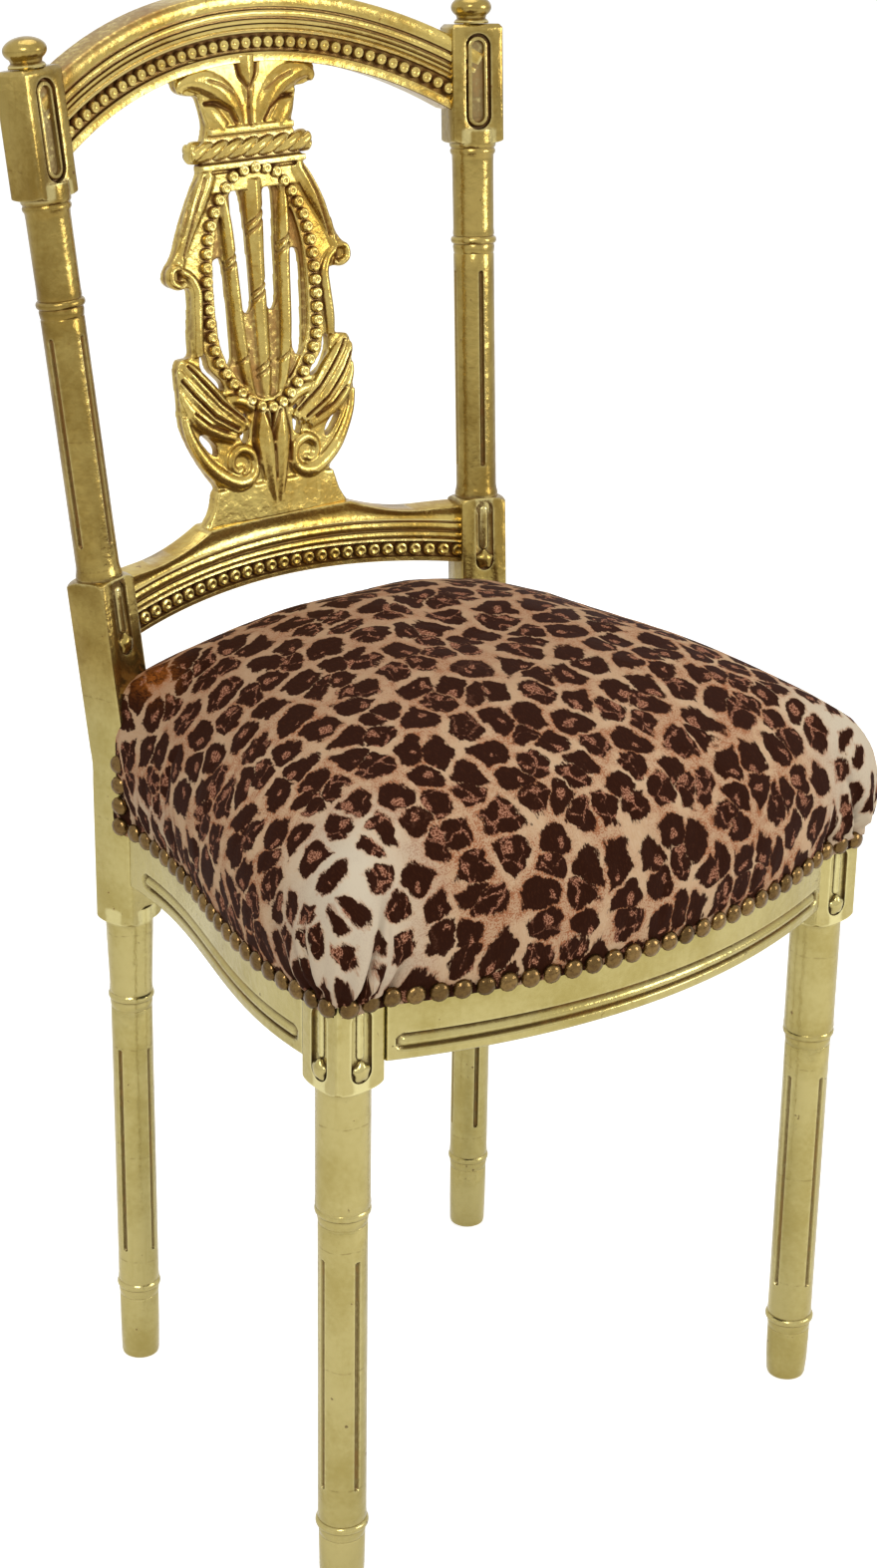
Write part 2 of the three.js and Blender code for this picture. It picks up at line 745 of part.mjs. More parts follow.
// The top edge flares up to the splat.
function crossTop(x) {
  const share = THREE.MathUtils.clamp((Math.abs(x) - splatFoot) / (crossFlareHalf - splatFoot), 0, 1);
  const flare = (crossShoulderTop - crossEndTop) * (1 - share) ** 2;
  return crossEndTop + flare;
}

const splatFoot = splatHalf * 0.79;

// The cross rail's section, as depth behind the face and a share of the way up.
// Shares up to 1 climb the mouldings, and shares from 1 to 2 the plain band above them.
function crossSection() {
  const shares = [
    [0, 0], [0, 0.1], [0.16, 0.13], [0.16, 0.5], [0, 0.56], [-0.04, 0.66], [0.06, 0.75], [-0.04, 0.88],
    [0.06, 1], [0, 2], [1, 2], [1, 0],
  ];
  return shares.map(([depthShare, riseShare]) => [depthShare * crossThick, riseShare]);
}

function crossPlace(x, [depth, riseShare]) {
  const mouldedTop = crossUnderside(x) + crossMouldedWidth;
  const low = Math.min(riseShare, 1) * crossMouldedWidth;
  const high = Math.max(riseShare - 1, 0) * (crossTop(x) - mouldedTop);
  const z = crossUnderside(x) + low + high;
  return new THREE.Vector3(x, backFace(x, z) + depth, z);
}

function crossBody() {
  const end = backHalf(crossBottom);
  const rail = carried(crossSection(), spaced(-end, end, railSteps + railSteps / 2), crossPlace);
  return cut(rail, ...postsGrown(clearance));
}

function makeCrossRail() {
  const tenons = [-1, 1].map((side) => railTenon(side, crossTenonHeight, lowBlockWidth));
  return cut(join(crossBody(), ...tenons), splatTenon(crossShoulderTop, -1, clearance));
}

// Splat

// The splat is a flat plank that leans with the posts: across, up along the lean, out to the front.
function splatFrame() {
  const up = new THREE.Vector3(0, rakeShare, 1).normalize();
  const across = new THREE.Vector3(1, 0, 0);
  const out = across.clone().cross(up);
  const frame = new THREE.Matrix4().makeBasis(across, up, out);
  const y = backFace(0, crossShoulderTop) + splatSetback + splatThick;
  return frame.setPosition(0, y, crossShoulderTop);
}

const splatStretch = Math.hypot(1, rakeShare);
const splatHeight = (crestUnderside - crossShoulderTop) * splatStretch;

function alongSplat(height) {
  return (height - crossShoulderTop) * splatStretch;
}

// Half outline from the foot up, as shares of the half width and of the height.
const footShares = [[0.79, 0], [0.7, 0.03], [0.655, 0.072]];
const scrollShares = [[0.6, 0.078], [0.7, 0.107], [0.79, 0.143], [0.87, 0.18], [0.94, 0.222]];
const leafShares = [[0.93, 0.235], [0.96, 0.25], [0.94, 0.285], [0.96, 0.35], [0.92, 0.378], [0.78, 0.372]];
const armShares = [[0.8, 0.42], [0.76, 0.47], [0.735, 0.51], [0.75, 0.532]];
const earShares = [[0.93, 0.532], [1, 0.548], [0.99, 0.572], [0.87, 0.602]];
const shoulderShares = [[0.81, 0.64], [0.75, 0.68], [0.62, 0.735], [0.53, 0.785]];
const neckShares = [[0.52, 0.85], [0.45, 0.858]];
const capitalShares = [
  [0.44, 0.865], [0.5, 0.935], [0.61, 0.937], [0.72, 0.95], [0.75, 0.968], [0.72, 0.985], [0.62, 1],
];
const outlineShares = [
  ...footShares, ...scrollShares, ...leafShares, ...armShares, ...earShares, ...shoulderShares,
  ...neckShares, ...capitalShares,
];

// Openings of the right half. Each is a ring of shares.
const openingShares = [
  [[0.08, 0.47], [0.19, 0.47], [0.215, 0.6], [0.24, 0.715], [0.18, 0.735], [0.115, 0.715], [0.08, 0.6]],
  [[0.34, 0.36], [0.44, 0.355], [0.485, 0.46], [0.49, 0.57], [0.42, 0.59], [0.36, 0.575], [0.335, 0.46]],
  [[0.48, 0.295], [0.62, 0.31], [0.71, 0.35], [0.705, 0.385], [0.66, 0.385], [0.62, 0.345], [0.5, 0.315]],
  [[0.25, 0.18], [0.33, 0.17], [0.36, 0.22], [0.3, 0.24], [0.25, 0.225]],
  [[0.6, 0.15], [0.7, 0.165], [0.8, 0.205], [0.72, 0.205], [0.6, 0.175]],
];

function splatPoint([acrossShare, upShare], side = 1) {
  return [side * acrossShare * splatHalf, upShare * splatHeight];
}

function mirrored(shares) {
  const right = shares.map((share) => splatPoint(share));
  const left = shares.map((share) => splatPoint(share, -1)).reverse();
  return [...right, ...left];
}

function splatPlank() {
  const frame = splatFrame();
  let plank = slab(shapeOf(mirrored(outlineShares)), 0, splatThick, frame);
  for (const side of [-1, 1]) {
    for (const shares of openingShares) {
      const points = shares.map((share) => splatPoint(share, side));
      if (side < 0) points.reverse();
      plank = cut(plank, slab(shapeOf(points), -overrun, splatThick + reliefRise, frame));
    }
  }
  return plank;
}

// The bead oval round the strings, outer and inner edge of its right half.
const bandShares = [
  [0.1, 0.232], [0.32, 0.271], [0.5, 0.327], [0.61, 0.39], [0.64, 0.488],
  [0.625, 0.58], [0.547, 0.662], [0.42, 0.727], [0.267, 0.765], [0.1, 0.785],
];
const bandInnerShares = [
  [0.1, 0.258], [0.27, 0.296], [0.42, 0.35], [0.505, 0.4], [0.533, 0.488],
  [0.518, 0.575], [0.44, 0.648], [0.33, 0.7], [0.2, 0.735], [0.1, 0.755],
];

function beadBand(frame) {
  const band = slab(shapeOf(mirrored(bandShares)), splatThick - overrun, splatThick + reliefRise, frame);
  return cut(band, slab(shapeOf(mirrored(bandInnerShares)), 0, 2 * splatThick, frame));
}

function splatReliefs() {
  const frame = splatFrame();
  const [low, high] = [splatThick - overrun, splatThick + reliefRise];
  const carved = [beadBand(frame)];
  for (const side of [-1, 1]) {
    const relief = (shares, rise = high) => {
      const points = shares.map((share) => splatPoint(share, side));
      if (side < 0) points.reverse();
      return slab(shapeOf(points), low, rise, frame);
    };
    carved.push(relief([[0.02, 0.9], [0.08, 0.87], [0.3, 0.93], [0.58, 0.94], [0.71, 0.955],
      [0.72, 0.975], [0.5, 0.998], [0.2, 0.99]]));
    carved.push(relief([[0.5, 0.2], [0.9, 0.245], [0.93, 0.3], [0.93, 0.36], [0.82, 0.355],
      [0.6, 0.3], [0.4, 0.245]]));
    const place = new THREE.Matrix4().makeTranslation(side * voluteOffset, alongSplat(voluteHeight), 0);
    const volute = frame.clone().multiply(place);
    carved.push(turned([
      [voluteRadius, low], [voluteRadius, high], [voluteRadius - reliefRise, high + overrun / 2],
      [voluteEyeRadius, high], [voluteEyeRadius, high + overrun],
    ], volute, turnSides / 2));
  }
  carved.push(slab(shapeOf(mirrored([[0.02, 0.012], [0.14, 0.05], [0.16, 0.11], [0.23, 0.16],
    [0.22, 0.22], [0.1, 0.235]])), low, high, frame));
  const lying = new THREE.Matrix4().makeRotationY(Math.PI / 2);
  const depth = splatThick + reliefRise - ropeRadius;
  const place = new THREE.Matrix4().makeTranslation(0, alongSplat(ropeHeight), depth);
  const end = ropeRadius / 3;
  const rope = turned([
    [ropeRadius - end, -ropeHalf], [ropeRadius, -ropeHalf + end],
    [ropeRadius, ropeHalf - end], [ropeRadius - end, ropeHalf],
  ], frame.clone().multiply(place).multiply(lying), turnSides / 2);
  carved.push(rope);
  return carved;
}

function splatTenon(height, direction, grow = 0) {
  const frame = splatFrame();
  const at = alongSplat(height);
  const middle = splatThick / 2;
  const [half, thick] = [splatTenonWidth / 2 + grow, splatTenonThick / 2 + grow];
  const end = at + direction * (splatTenonDepth + clearance + grow);
  const start = at - direction * overrun;
  return block(
    [-half, Math.min(start, end), middle - thick],
    [half, Math.max(start, end), middle + thick], frame);
}

// What the splat can fill: from the cross rail's top up to the arch of the crest rail.
function splatEnvelope() {
  const reach = Math.asin(splatHalf / crestLowRadius) * 2;
  const arch = spaced(reach, -reach, railSteps).map((angle) => {
    const { x, z } = crestPlace(angle, [0, -clearance]);
    return [x, z];
  });
  const [edge, floor] = [arch[0][0], crossShoulderTop + clearance];
  const outline = shapeOf([[-edge, floor], [edge, floor], ...arch]);
  return slab(outline, 0, backLegSetback, onFace(-2 * backLegSetback, 0));
}

function makeSplat() {
  const whole = join(splatPlank(), ...splatReliefs()).intersect(splatEnvelope());
  return join(whole, splatTenon(crestUnderside, 1), splatTenon(crossShoulderTop, -1));
}

// Seat plan

// The plan of the upholstered seat at the rail faces, once round from the front middle.
function seatPlan() {
  const half = frontStations.map((x) => [x, frontRailY(x)]);
  const centre = [frontLegX + legBlock / 2 - cornerRound, -legBlock / 2 + cornerRound];
  for (const angle of spaced(-Math.PI / 2, 0, cornerSteps)) {
    half.push([centre[0] + cornerRound * Math.cos(angle), centre[1] + cornerRound * Math.sin(angle)]);
  }
  for (const y of sideStations) half.push([sideRailX(y), y]);
  const corner = new THREE.Vector3(lowBlockWidth / 2, -lowBlockDepth / 2, 0).applyMatrix4(backLegFrame(1));
  const back = new THREE.Vector3(0, wrapBack, 0).applyAxisAngle(new THREE.Vector3(0, 0, 1), -yaw);
  half.push([corner.x, corner.y]);
  half.push([corner.x + back.x, corner.y + back.y]);
  half.push([backLegX - lowBlockWidth / 4, backRailFace]);
  half.push([backLegX / 2, backRailFace]);
  const left = half.slice(1).reverse().map(([x, y]) => [-x, y]);
  return [...half, [0, backRailFace], ...left].map(([x, y]) => new THREE.Vector2(x, y));
}

// The middle of the seat frame, with its outline drawn in from the rail faces.
function innerPlan(inset) {
  const half = frontStations.map((x) => [x, frontRailY(x) + inset]);
  for (const y of sideStations) half.push([sideRailX(y) - inset, y]);
  half.push([sideRailX(sideRailTo) - inset, backRailFace - inset]);
  return shapeOf([...half, ...half.slice(1).reverse().map(([x, y]) => [-x, y])]);
}

// Each point moved out of the plan, so that the edges move out by the same distance.
function outward(plan, distance) {
  const normal = (from, to) => new THREE.Vector2(to.y - from.y, from.x - to.x).normalize();
  return plan.map((point, at) => {
    const before = normal(plan[(at + plan.length - 1) % plan.length], point);
    const after = normal(point, plan[(at + 1) % plan.length]);
    const amount = typeof distance === 'function' ? distance(point) : distance;
    const stretch = amount / (1 + before.dot(after));
    return before.add(after).multiplyScalar(stretch).add(point);
  });
}

// None at the posts, and 1 where the cushion is free of them.
function postShare(point) {
  const away = Math.hypot(Math.abs(point.x) - backLegX, point.y - backLegSetback) - cornerReach;
  return THREE.MathUtils.clamp(away / postGuard, 0, 1);
}

// The outer form of the seat, or the same form drawn in by an inset.
function seatForm(inset, from) {
  const plan = seatPlan();
  const skin = coverThick + clearance - inset;
  const middle = new THREE.Vector2(0, (frontRailY(0) + backRailFace) / 2);
  const reach = backRailFace - middle.y;
  const rings = cushionShares.map(([riseShare, bulgeShare, inShare]) => {
    const spread = outward(plan, (point) => skin + bulgeShare * cushionBulge * postShare(point));
    return spread.map((spot, at) => {
      const dip = cushionDip * (1 - postShare(plan[at])) * (1 - inShare);
      const place = spot.lerp(middle, inShare);
      const lift = crownRise - inset + cushionTilt * (place.y - middle.y) / reach - dip;
      return new THREE.Vector3(place.x, place.y, frameTop + riseShare * lift);
    });
  });
  const hem = outward(plan, skin).map(({ x, y }) => new THREE.Vector3(x, y, from));
  return loft([hem, ...rings], plan);
}

function postsGrown(grow) {
  return [-1, 1].map((side) => lowBlock(side, grow));
}

const hessianFrom = frameTop + strapThick + 2 * strapWave + 2 * clearance;
const stuffingFrom = hessianFrom + hessianThick + clearance;

function makeCover() {
  const skirtFrom = frameTop - skirtDrop;
  const shell = cut(seatForm(0, skirtFrom), seatForm(coverThick, skirtFrom - overrun));
  const legs = [-1, 1].map((side) => legSquare(side, clearance));
  return cut(shell, ...legs, ...postsGrown(clearance));
}

function makeStuffing() {
  const form = seatForm(coverThick + 2 * clearance, frameTop - overrun);
  const reach = frontSpread + backLegSetback;
  const below = block([-reach, -reach, 0], [reach, reach, stuffingFrom]);
  return cut(form, below, ...postsGrown(2 * clearance));
}

function makeHessian() {
  const sheet = slab(innerPlan(hessianInset), hessianFrom, hessianFrom + hessianThick);
  return cut(sheet, ...postsGrown(clearance));
}

// One webbing strap, woven over and under the straps that cross it.
function makeStrap(place, ends, crossings, phase) {
  const middleHeight = frameTop + clearance + strapThick + strapWave;
  const stations = [ends[0], ...crossings.flatMap((at, count) => {
    const lift = (count + phase) % 2 ? strapWave : -strapWave;
    return [{ at: at - strapWidth / 2, lift }, { at: at + strapWidth / 2, lift }];
  }), ends[1]].map((stop) => (typeof stop === 'number' ? { at: stop, lift: -strapWave } : stop));
  const half = strapWidth / 2;
  const section = [[-half, 0], [half, 0], [half, strapThick], [-half, strapThick]];
  return carried(section, stations, ({ at, lift }, [across, up]) => {
    const height = middleHeight + lift - strapThick + up;
    return place(at, across, height);
  });
}

function makeDustCover() {
  const top = railBottom - clearance;
  const sheet = slab(innerPlan(dustCoverInset), top - dustCoverThick, top);
  const legs = [-1, 1].map((side) => legSquare(side, clearance));
  return cut(sheet, ...legs, ...postsGrown(clearance));
}

// Nail rows

// The point and the way out at a distance along a path.
function placeAlong(path, reached, distance) {
  const leg = Math.max(1, reached.findIndex((far) => far >= distance));
  const share = (distance - reached[leg - 1]) / (reached[leg] - reached[leg - 1]);
  return {
    point: path[leg - 1].point.clone().lerp(path[leg].point, share),
    out: path[leg - 1].out.clone().lerp(path[leg].out, share),
  };
}

// A narrow strip along a path with a domed head at every pitch.
function nailRow(path, sideways) {
  let whole = 0;
  const reached = path.map(({ point }, at) => {
    whole += at > 0 ? point.distanceTo(path[at - 1].point) : 0;
    return whole;
  });
  const count = Math.round(whole / nailPitch);
  const centres = Array.from({ length: count }, (_, at) => whole * (at + 1 / 2) / count);
  const edges = centres.flatMap((centre) => (
    [-1, -1 / 2, 1 / 2, 1].map((share) => centre + share * nailRadius)));
  const stations = [...reached, ...edges].sort((a, b) => a - b)
    .filter((at, place, all) => place === 0 || at - all[place - 1] > clearance || at === whole);
  const sectionShares = [[0, -1], [0, 1], [1, 1 / 2], [1, -1 / 2]];
  return carried(sectionShares, stations, (at, [riseShare, acrossShare]) => {
    const away = Math.min(...centres.map((centre) => Math.abs(at - centre))) / nailRadius;
    const share = THREE.MathUtils.clamp(2 - 2 * away, 0, 1);
    const rise = THREE.MathUtils.lerp(nailStripThick, nailHeight, share);
    const across = THREE.MathUtils.lerp(nailStripHalf, nailRadius, share);
    const { point, out } = placeAlong(path, reached, at);
    return point.addScaledVector(out, rise * riseShare).addScaledVector(sideways, across * acrossShare);
  });
}

// The seat plan at the nails: each point lies on the cover and knows its way out.
function nailPlan() {
  const plan = seatPlan();
  const away = coverThick + 2 * clearance;
  const [near, far] = [outward(plan, away), outward(plan, 2 * away)];
  return near.map((spot, at) => {
    const sag = Math.max(0, 1 - (spot.x / frontRailEnd) ** 2) * nailRowSag;
    const height = frameTop - nailRowDrop - (spot.y < 0 ? sag : 0);
    const out = far[at].clone().sub(spot).normalize();
    return { point: new THREE.Vector3(spot.x, spot.y, height), out: new THREE.Vector3(out.x, out.y, 0) };
  });
}

const cornerFrom = frontStations.length; // first point of the corner in the half plan
const sideFrom = cornerFrom + cornerSteps + 1;
const wrapFrom = sideFrom + sideStations.length;

const upwards = new THREE.Vector3(0, 0, 1);

function frontNails() {
  const right = nailPlan().slice(0, cornerFrom + 1);
  const left = right.slice(1).reverse().map(flipped);
  return nailRow([...left, ...right], upwards);
}

function flipped({ point, out }) {
  const flip = new THREE.Vector3(-1, 1, 1);
  return { point: point.clone().multiply(flip), out: out.clone().multiply(flip) };
}

// The side row ends on the outer face of the post, and a short row climbs from its last head.
function sideNails(side) {
  const right = nailPlan().slice(sideFrom - 1, wrapFrom + 2);
  const back = right.pop();
  const corner = right[right.length - 1];
  const backwards = back.point.clone().sub(corner.point).normalize();
  const out = new THREE.Vector3(backwards.y, -backwards.x, 0);
  const column = corner.point.clone().lerp(back.point, 1 / 2);
  const rowEnd = { point: column.clone().addScaledVector(backwards, nailPitch / 2), out };
  const climb = [{ point: column, out }, { point: column.clone().setZ(frameTop + wrapHeight), out }];
  if (side < 0) {
    const row = nailRow([...right, rowEnd].map(flipped), upwards);
    return join(row, nailRow(climb.map(flipped), backwards.multiply(new THREE.Vector3(-1, 1, 1))));
  }
  return join(nailRow([...right, rowEnd], upwards), nailRow(climb, backwards));
}

function backNails() {
  const reach = backLegX - cornerReach - nailRadius;
  const y = backRailFace + coverThick + 2 * clearance;
  const out = new THREE.Vector3(0, 1, 0);
  const height = frameTop - nailRowDrop;
  return nailRow([reach, -reach].map((x) => ({ point: new THREE.Vector3(x, y, height), out })), upwards);
}

// Corner braces

const braceFrom = railBottom + (frameTop - railBottom - braceHeight) / 2;
const screwHeight = braceFrom + braceHeight / 2;

// A screw's frame has its head's seat at the origin and drives along Z.
function screwFrame(x, y, towards) {
  const turn = new THREE.Quaternion().setFromUnitVectors(new THREE.Vector3(0, 0, 1), towards);
  return new THREE.Matrix4().makeRotationFromQuaternion(turn).setPosition(x, y, screwHeight);
}

function screwFrames(side) {
  const sideways = new THREE.Vector3(side, 0, 0);
  const fromSide = (y) => side * (sideRailX(y) - railThick - screwSeat);
  const frontX = frontLegX - frontScrewInset;
  const backY = backLegSetback - backSideScrewInset;
  return {
    front: [
      screwFrame(side * frontX, frontRailY(frontX) + railThick + screwSeat, new THREE.Vector3(0, -1, 0)),
      screwFrame(fromSide(frontSideScrewInset), frontSideScrewInset, sideways),
    ],
    back: [
      screwFrame(side * (backLegX - backScrewInset), backRailFace - railThick - screwSeat,
        new THREE.Vector3(0, 1, 0)),
      screwFrame(fromSide(backY), backY, sideways),
    ],
  };
}

function makeScrew(frame) {
  return turned([
    [screwHeadRadius, -screwHeadHeight - clearance],
    [screwHeadRadius, -clearance],
    [screwRadius, -clearance],
    [screwRadius, screwLength],
  ], frame, screwSides);
}

// The hole that a screw needs, with a pocket behind its head.
function screwHole(frame) {
  const [thin, wide] = [screwRadius + clearance, screwHeadRadius + clearance];
  return turned([
    [wide, -braceReach], [wide, 0], [thin, 0], [thin, screwLength + clearance],
  ], frame, screwSides);
}

function legSquare(side, grow) {
  const outline = squareOutline(legBlock, legBlock, grow);
  return slab(shapeOf(outline), legBlockBottom, frameTop, frontLegFrame(side));
}

function makeFrontBrace(side) {
  const [x, y] = [frontLegX, 0];
  const outline = shapeOf([[side * x, y], [side * x, y + braceReach],
    [side * (x - braceReach), frontRailFace]]);
  const body = slab(outline, braceFrom, braceFrom + braceHeight);
  const rails = [frontRailBody(clearance), sideRailBody(side, clearance), legSquare(side, clearance)];
  return cut(body, ...rails, ...screwFrames(side).front.map(screwHole));
}

function makeBackBrace(side) {
  const [x, y] = [backLegX, backLegSetback];
  const outline = shapeOf([[side * x, y], [side * x, y - braceReach], [side * (x - braceReach), y]]);
  const body = slab(outline, braceFrom, braceFrom + braceHeight);
  const grow = clearance;
  const backRail = block(
    [-x, backRailFace - railThick - grow, railBottom], [x, backRailFace + grow, frameTop]);
  const rails = [backRail, sideRailBody(side, grow), lowBlock(side, grow)];
  return cut(body, ...rails, ...screwFrames(side).back.map(screwHole));
}

// The chair

const mirrorSides = [[-1, 'left'], [1, 'right']];

for (const [side, hand] of mirrorSides) {
  piece(`front_leg_${hand}`, makeFrontLeg(side), gilt);
  piece(`back_post_${hand}`, makeBackPost(side), gilt);
  piece(`side_rail_${hand}`, makeSideRail(side), gilt);
  piece(`finial_${hand}`, makeFinial(side), gilt);
  piece(`corner_block_front_${hand}`, makeFrontBrace(side), bareWood);
  piece(`corner_block_back_${hand}`, makeBackBrace(side), bareWood);
  const screws = screwFrames(side);
  [...screws.front, ...screws.back].forEach((frame, at) => {
    piece(`corner_screw_${hand}_${at + 1}`, makeScrew(frame), steel);
  });
  piece(`nail_trim_${hand}`, sideNails(side), brass);
}
piece('front_rail', makeFrontRail(), gilt);
piece('back_rail', makeBackRail(), gilt);
piece('crest_rail', makeCrestRail(), richGilt);
piece('lower_back_rail', makeCrossRail(), richGilt);
piece('lyre_splat', makeSplat(), richGilt);
piece('nail_trim_front', frontNails(), brass);
piece('nail_trim_back', backNails(), brass);
longStraps.forEach((x, at) => {
  const ends = [frontRailY(x) + strapInset, backRailFace - strapInset];
  const place = (y, across, height) => new THREE.Vector3(x + across, y, height);
  piece(`webbing_long_${at + 1}`, makeStrap(place, ends, crossStraps, at), jute);
});
crossStraps.forEach((y, at) => {
  const reach = sideRailX(y) - strapInset;
  const place = (x, across, height) => new THREE.Vector3(x, y - across, height);
  piece(`webbing_cross_${at + 1}`, makeStrap(place, [-reach, reach], longStraps, at + 1), jute);
});
piece('hessian', makeHessian(), jute);
piece('seat_stuffing', makeStuffing(), wadding);
piece('seat_cover', makeCover(), leopard);
piece('dust_cover', makeDustCover(), blackCloth);

// The chair stands on the middle of its footprint.
const extent = new THREE.Box3().setFromObject(chair);
chair.position.y = -(extent.min.y + extent.max.y) / 2;
chair.updateMatrixWorld(true);

export default chair;
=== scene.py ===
# %% [markdown]
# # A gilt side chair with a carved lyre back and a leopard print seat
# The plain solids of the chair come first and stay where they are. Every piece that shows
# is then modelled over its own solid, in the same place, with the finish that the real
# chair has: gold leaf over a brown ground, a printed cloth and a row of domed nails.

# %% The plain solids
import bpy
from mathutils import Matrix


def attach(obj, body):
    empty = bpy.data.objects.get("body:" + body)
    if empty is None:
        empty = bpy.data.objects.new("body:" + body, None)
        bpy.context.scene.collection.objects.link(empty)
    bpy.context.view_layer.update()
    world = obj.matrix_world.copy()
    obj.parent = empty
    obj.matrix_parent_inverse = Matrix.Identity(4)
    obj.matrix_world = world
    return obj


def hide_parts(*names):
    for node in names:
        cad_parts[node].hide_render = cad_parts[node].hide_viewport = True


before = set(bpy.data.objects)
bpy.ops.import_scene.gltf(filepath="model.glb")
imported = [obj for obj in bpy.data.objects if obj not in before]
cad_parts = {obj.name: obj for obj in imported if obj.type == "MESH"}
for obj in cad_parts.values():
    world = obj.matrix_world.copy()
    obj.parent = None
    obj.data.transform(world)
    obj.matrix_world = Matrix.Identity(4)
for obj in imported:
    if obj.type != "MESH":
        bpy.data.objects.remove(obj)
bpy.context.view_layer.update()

# %% [markdown]
# ## The camera
# The photograph looks down on the chair from its left front corner, a little under two
# metres away. The camera is set by its place and its three directions, which keeps the
# slight roll of the hand that held it. The long side of the picture sets the lens.

# %% Camera at the photograph's place
import math

import bmesh
import bpy
import numpy as np
from mathutils import Matrix, Vector, noise

PHOTO_HEIGHT = 1573
FOCAL_PIXELS = 3024

rightwards = Vector((0.78046, -0.62504, 0.014366))
upwards = Vector((0.224346, 0.301431, 0.926720))
forwards = Vector((0.583567, 0.720045, -0.375480))
eye = bpy.data.cameras.new("eye")
eye.sensor_width = 36
eye.lens = eye.sensor_width * FOCAL_PIXELS / PHOTO_HEIGHT
camera = bpy.data.objects.new("eye", eye)
camera.matrix_world = (Matrix.Translation((-1.13323, -1.40488, 1.16803))
                       @ Matrix((rightwards, upwards, -forwards)).transposed().to_4x4())
bpy.context.scene.collection.objects.link(camera)
bpy.context.scene.camera = camera
print("lens:", round(eye.lens, 2), "mm")

# %% [markdown]
# ## Helpers for the finishes
# A finish is a small web of shader nodes. Written as Python expressions it stays readable:
# `Level` wraps one socket, so a sum or a product of two levels adds the node that works it
# out, and `Finish.add` makes any other node.

# %% Levels and finishes
class Level:
    """One socket of a finish, so that shader maths reads like arithmetic."""

    def __init__(self, finish, socket):
        self.finish = finish
        self.socket = socket

    def work(self, operation, *values):
        return self.finish.add("ShaderNodeMath", {"operation": operation}, dict(enumerate(values)))

    def __add__(self, other):
        return self.work("ADD", self, other)

    def __sub__(self, other):
        return self.work("SUBTRACT", self, other)

    def __rsub__(self, other):
        return self.work("SUBTRACT", other, self)

    def __mul__(self, other):
        return self.work("MULTIPLY", self, other)

    __radd__ = __add__
    __rmul__ = __mul__

    def larger(self, other):
        return self.work("MAXIMUM", self, other)


class Finish:
    """A material with one shader, built from levels."""

    def __init__(self, name):
        self.material = bpy.data.materials.new(name)
        self.material.use_nodes = True
        self.tree = self.material.node_tree
        self.tree.nodes.clear()
        self.shader = self.tree.nodes.new("ShaderNodeBsdfPrincipled")
        output = self.tree.nodes.new("ShaderNodeOutputMaterial")
        self.tree.links.new(self.shader.outputs[0], output.inputs[0])

    def give(self, node, inputs):
        for key, value in inputs.items():
            if isinstance(value, Level):
                self.tree.links.new(value.socket, node.inputs[key])
            else:
                node.inputs[key].default_value = value

    def add(self, kind, settings=None, inputs=None, output=0):
        node = self.tree.nodes.new(kind)
        for key, value in (settings or {}).items():
            setattr(node, key, value)
        self.give(node, inputs or {})
        return Level(self, node.outputs[output])

    def place(self, turn=(0, 0, 0), scale=(1, 1, 1)):
        spot = self.add("ShaderNodeTexCoord", output="Object")
        return self.add("ShaderNodeMapping", None, {"Vector": spot, "Rotation": turn, "Scale": scale})

    def grain(self, spot, scale, detail=3, rough=0.55, output="Fac"):
        inputs = {"Vector": spot, "Scale": scale, "Detail": detail, "Roughness": rough}
        return self.add("ShaderNodeTexNoise", None, inputs, output)

    def ease(self, value, low, high):
        settings = {"interpolation_type": "SMOOTHSTEP"}
        return self.add("ShaderNodeMapRange", settings, {0: value, 1: low, 2: high})

    def mix(self, share, first, second):
        return self.add("ShaderNodeMix", {"data_type": "RGBA"}, {0: share, 6: first, 7: second}, 2)

    def bump(self, height, depth, under=None):
        inputs = {"Height": height, "Distance": depth, "Strength": 1}
        if under:
            inputs["Normal"] = under
        return self.add("ShaderNodeBump", None, inputs)

    def attribute(self, name):
        return self.add("ShaderNodeAttribute", {"attribute_name": name}, None, "Fac")


def paint(red, green, blue):
    """A colour as seen on a screen, 0 to 255, in the linear form that shaders use."""
    shares = [value / 255 for value in (red, green, blue)]
    return tuple(s / 12.92 if s < 0.04045 else ((s + 0.055) / 1.055) ** 2.4 for s in shares) + (1,)


print("finish helpers ready")

# %% [markdown]
# ## Gold leaf
# The frame is gilded over a red brown ground, then toned. In the hollows the toning stays
# as a brown patina. On the proud edges the leaf is rubbed bright, and this bright colour is
# also a painted highlight on every sharp edge. The leaf itself
# varies from hand-sized patch to patch, with faint lines where one leaf laps over the
# next. The hollows and the edges are found from the form itself: the
# shader looks how much each point is closed in by its own piece, and a carved form can also
# mark its sunk ground as `toned`. Legs and rails are a pale, greenish gold, and the carved
# back is warmer and darker, so one recipe makes both.

# %% Gilt finishes
# Four colours of each gilt surface: the leaf, its deeper patches, rubbed edges with painted highlight,
# and patina.
PALE_LEAF = (paint(190, 176, 116), paint(171, 155, 91), paint(234, 224, 162), paint(84, 54, 20))
RICH_LEAF = (paint(207, 183, 104), paint(166, 132, 54), paint(242, 224, 150), paint(108, 66, 24))
POST_LEAF = (paint(172, 149, 82), paint(134, 109, 49), paint(234, 220, 154), paint(88, 54, 18))
ORANGE_GROUND = paint(136, 86, 30)
PALE_BELOW, RICH_ABOVE = 0.46, 0.53  # metres: where the gold of the posts changes
HALF_LEAF = 0.0415  # metres: half the side of one leaf of gold


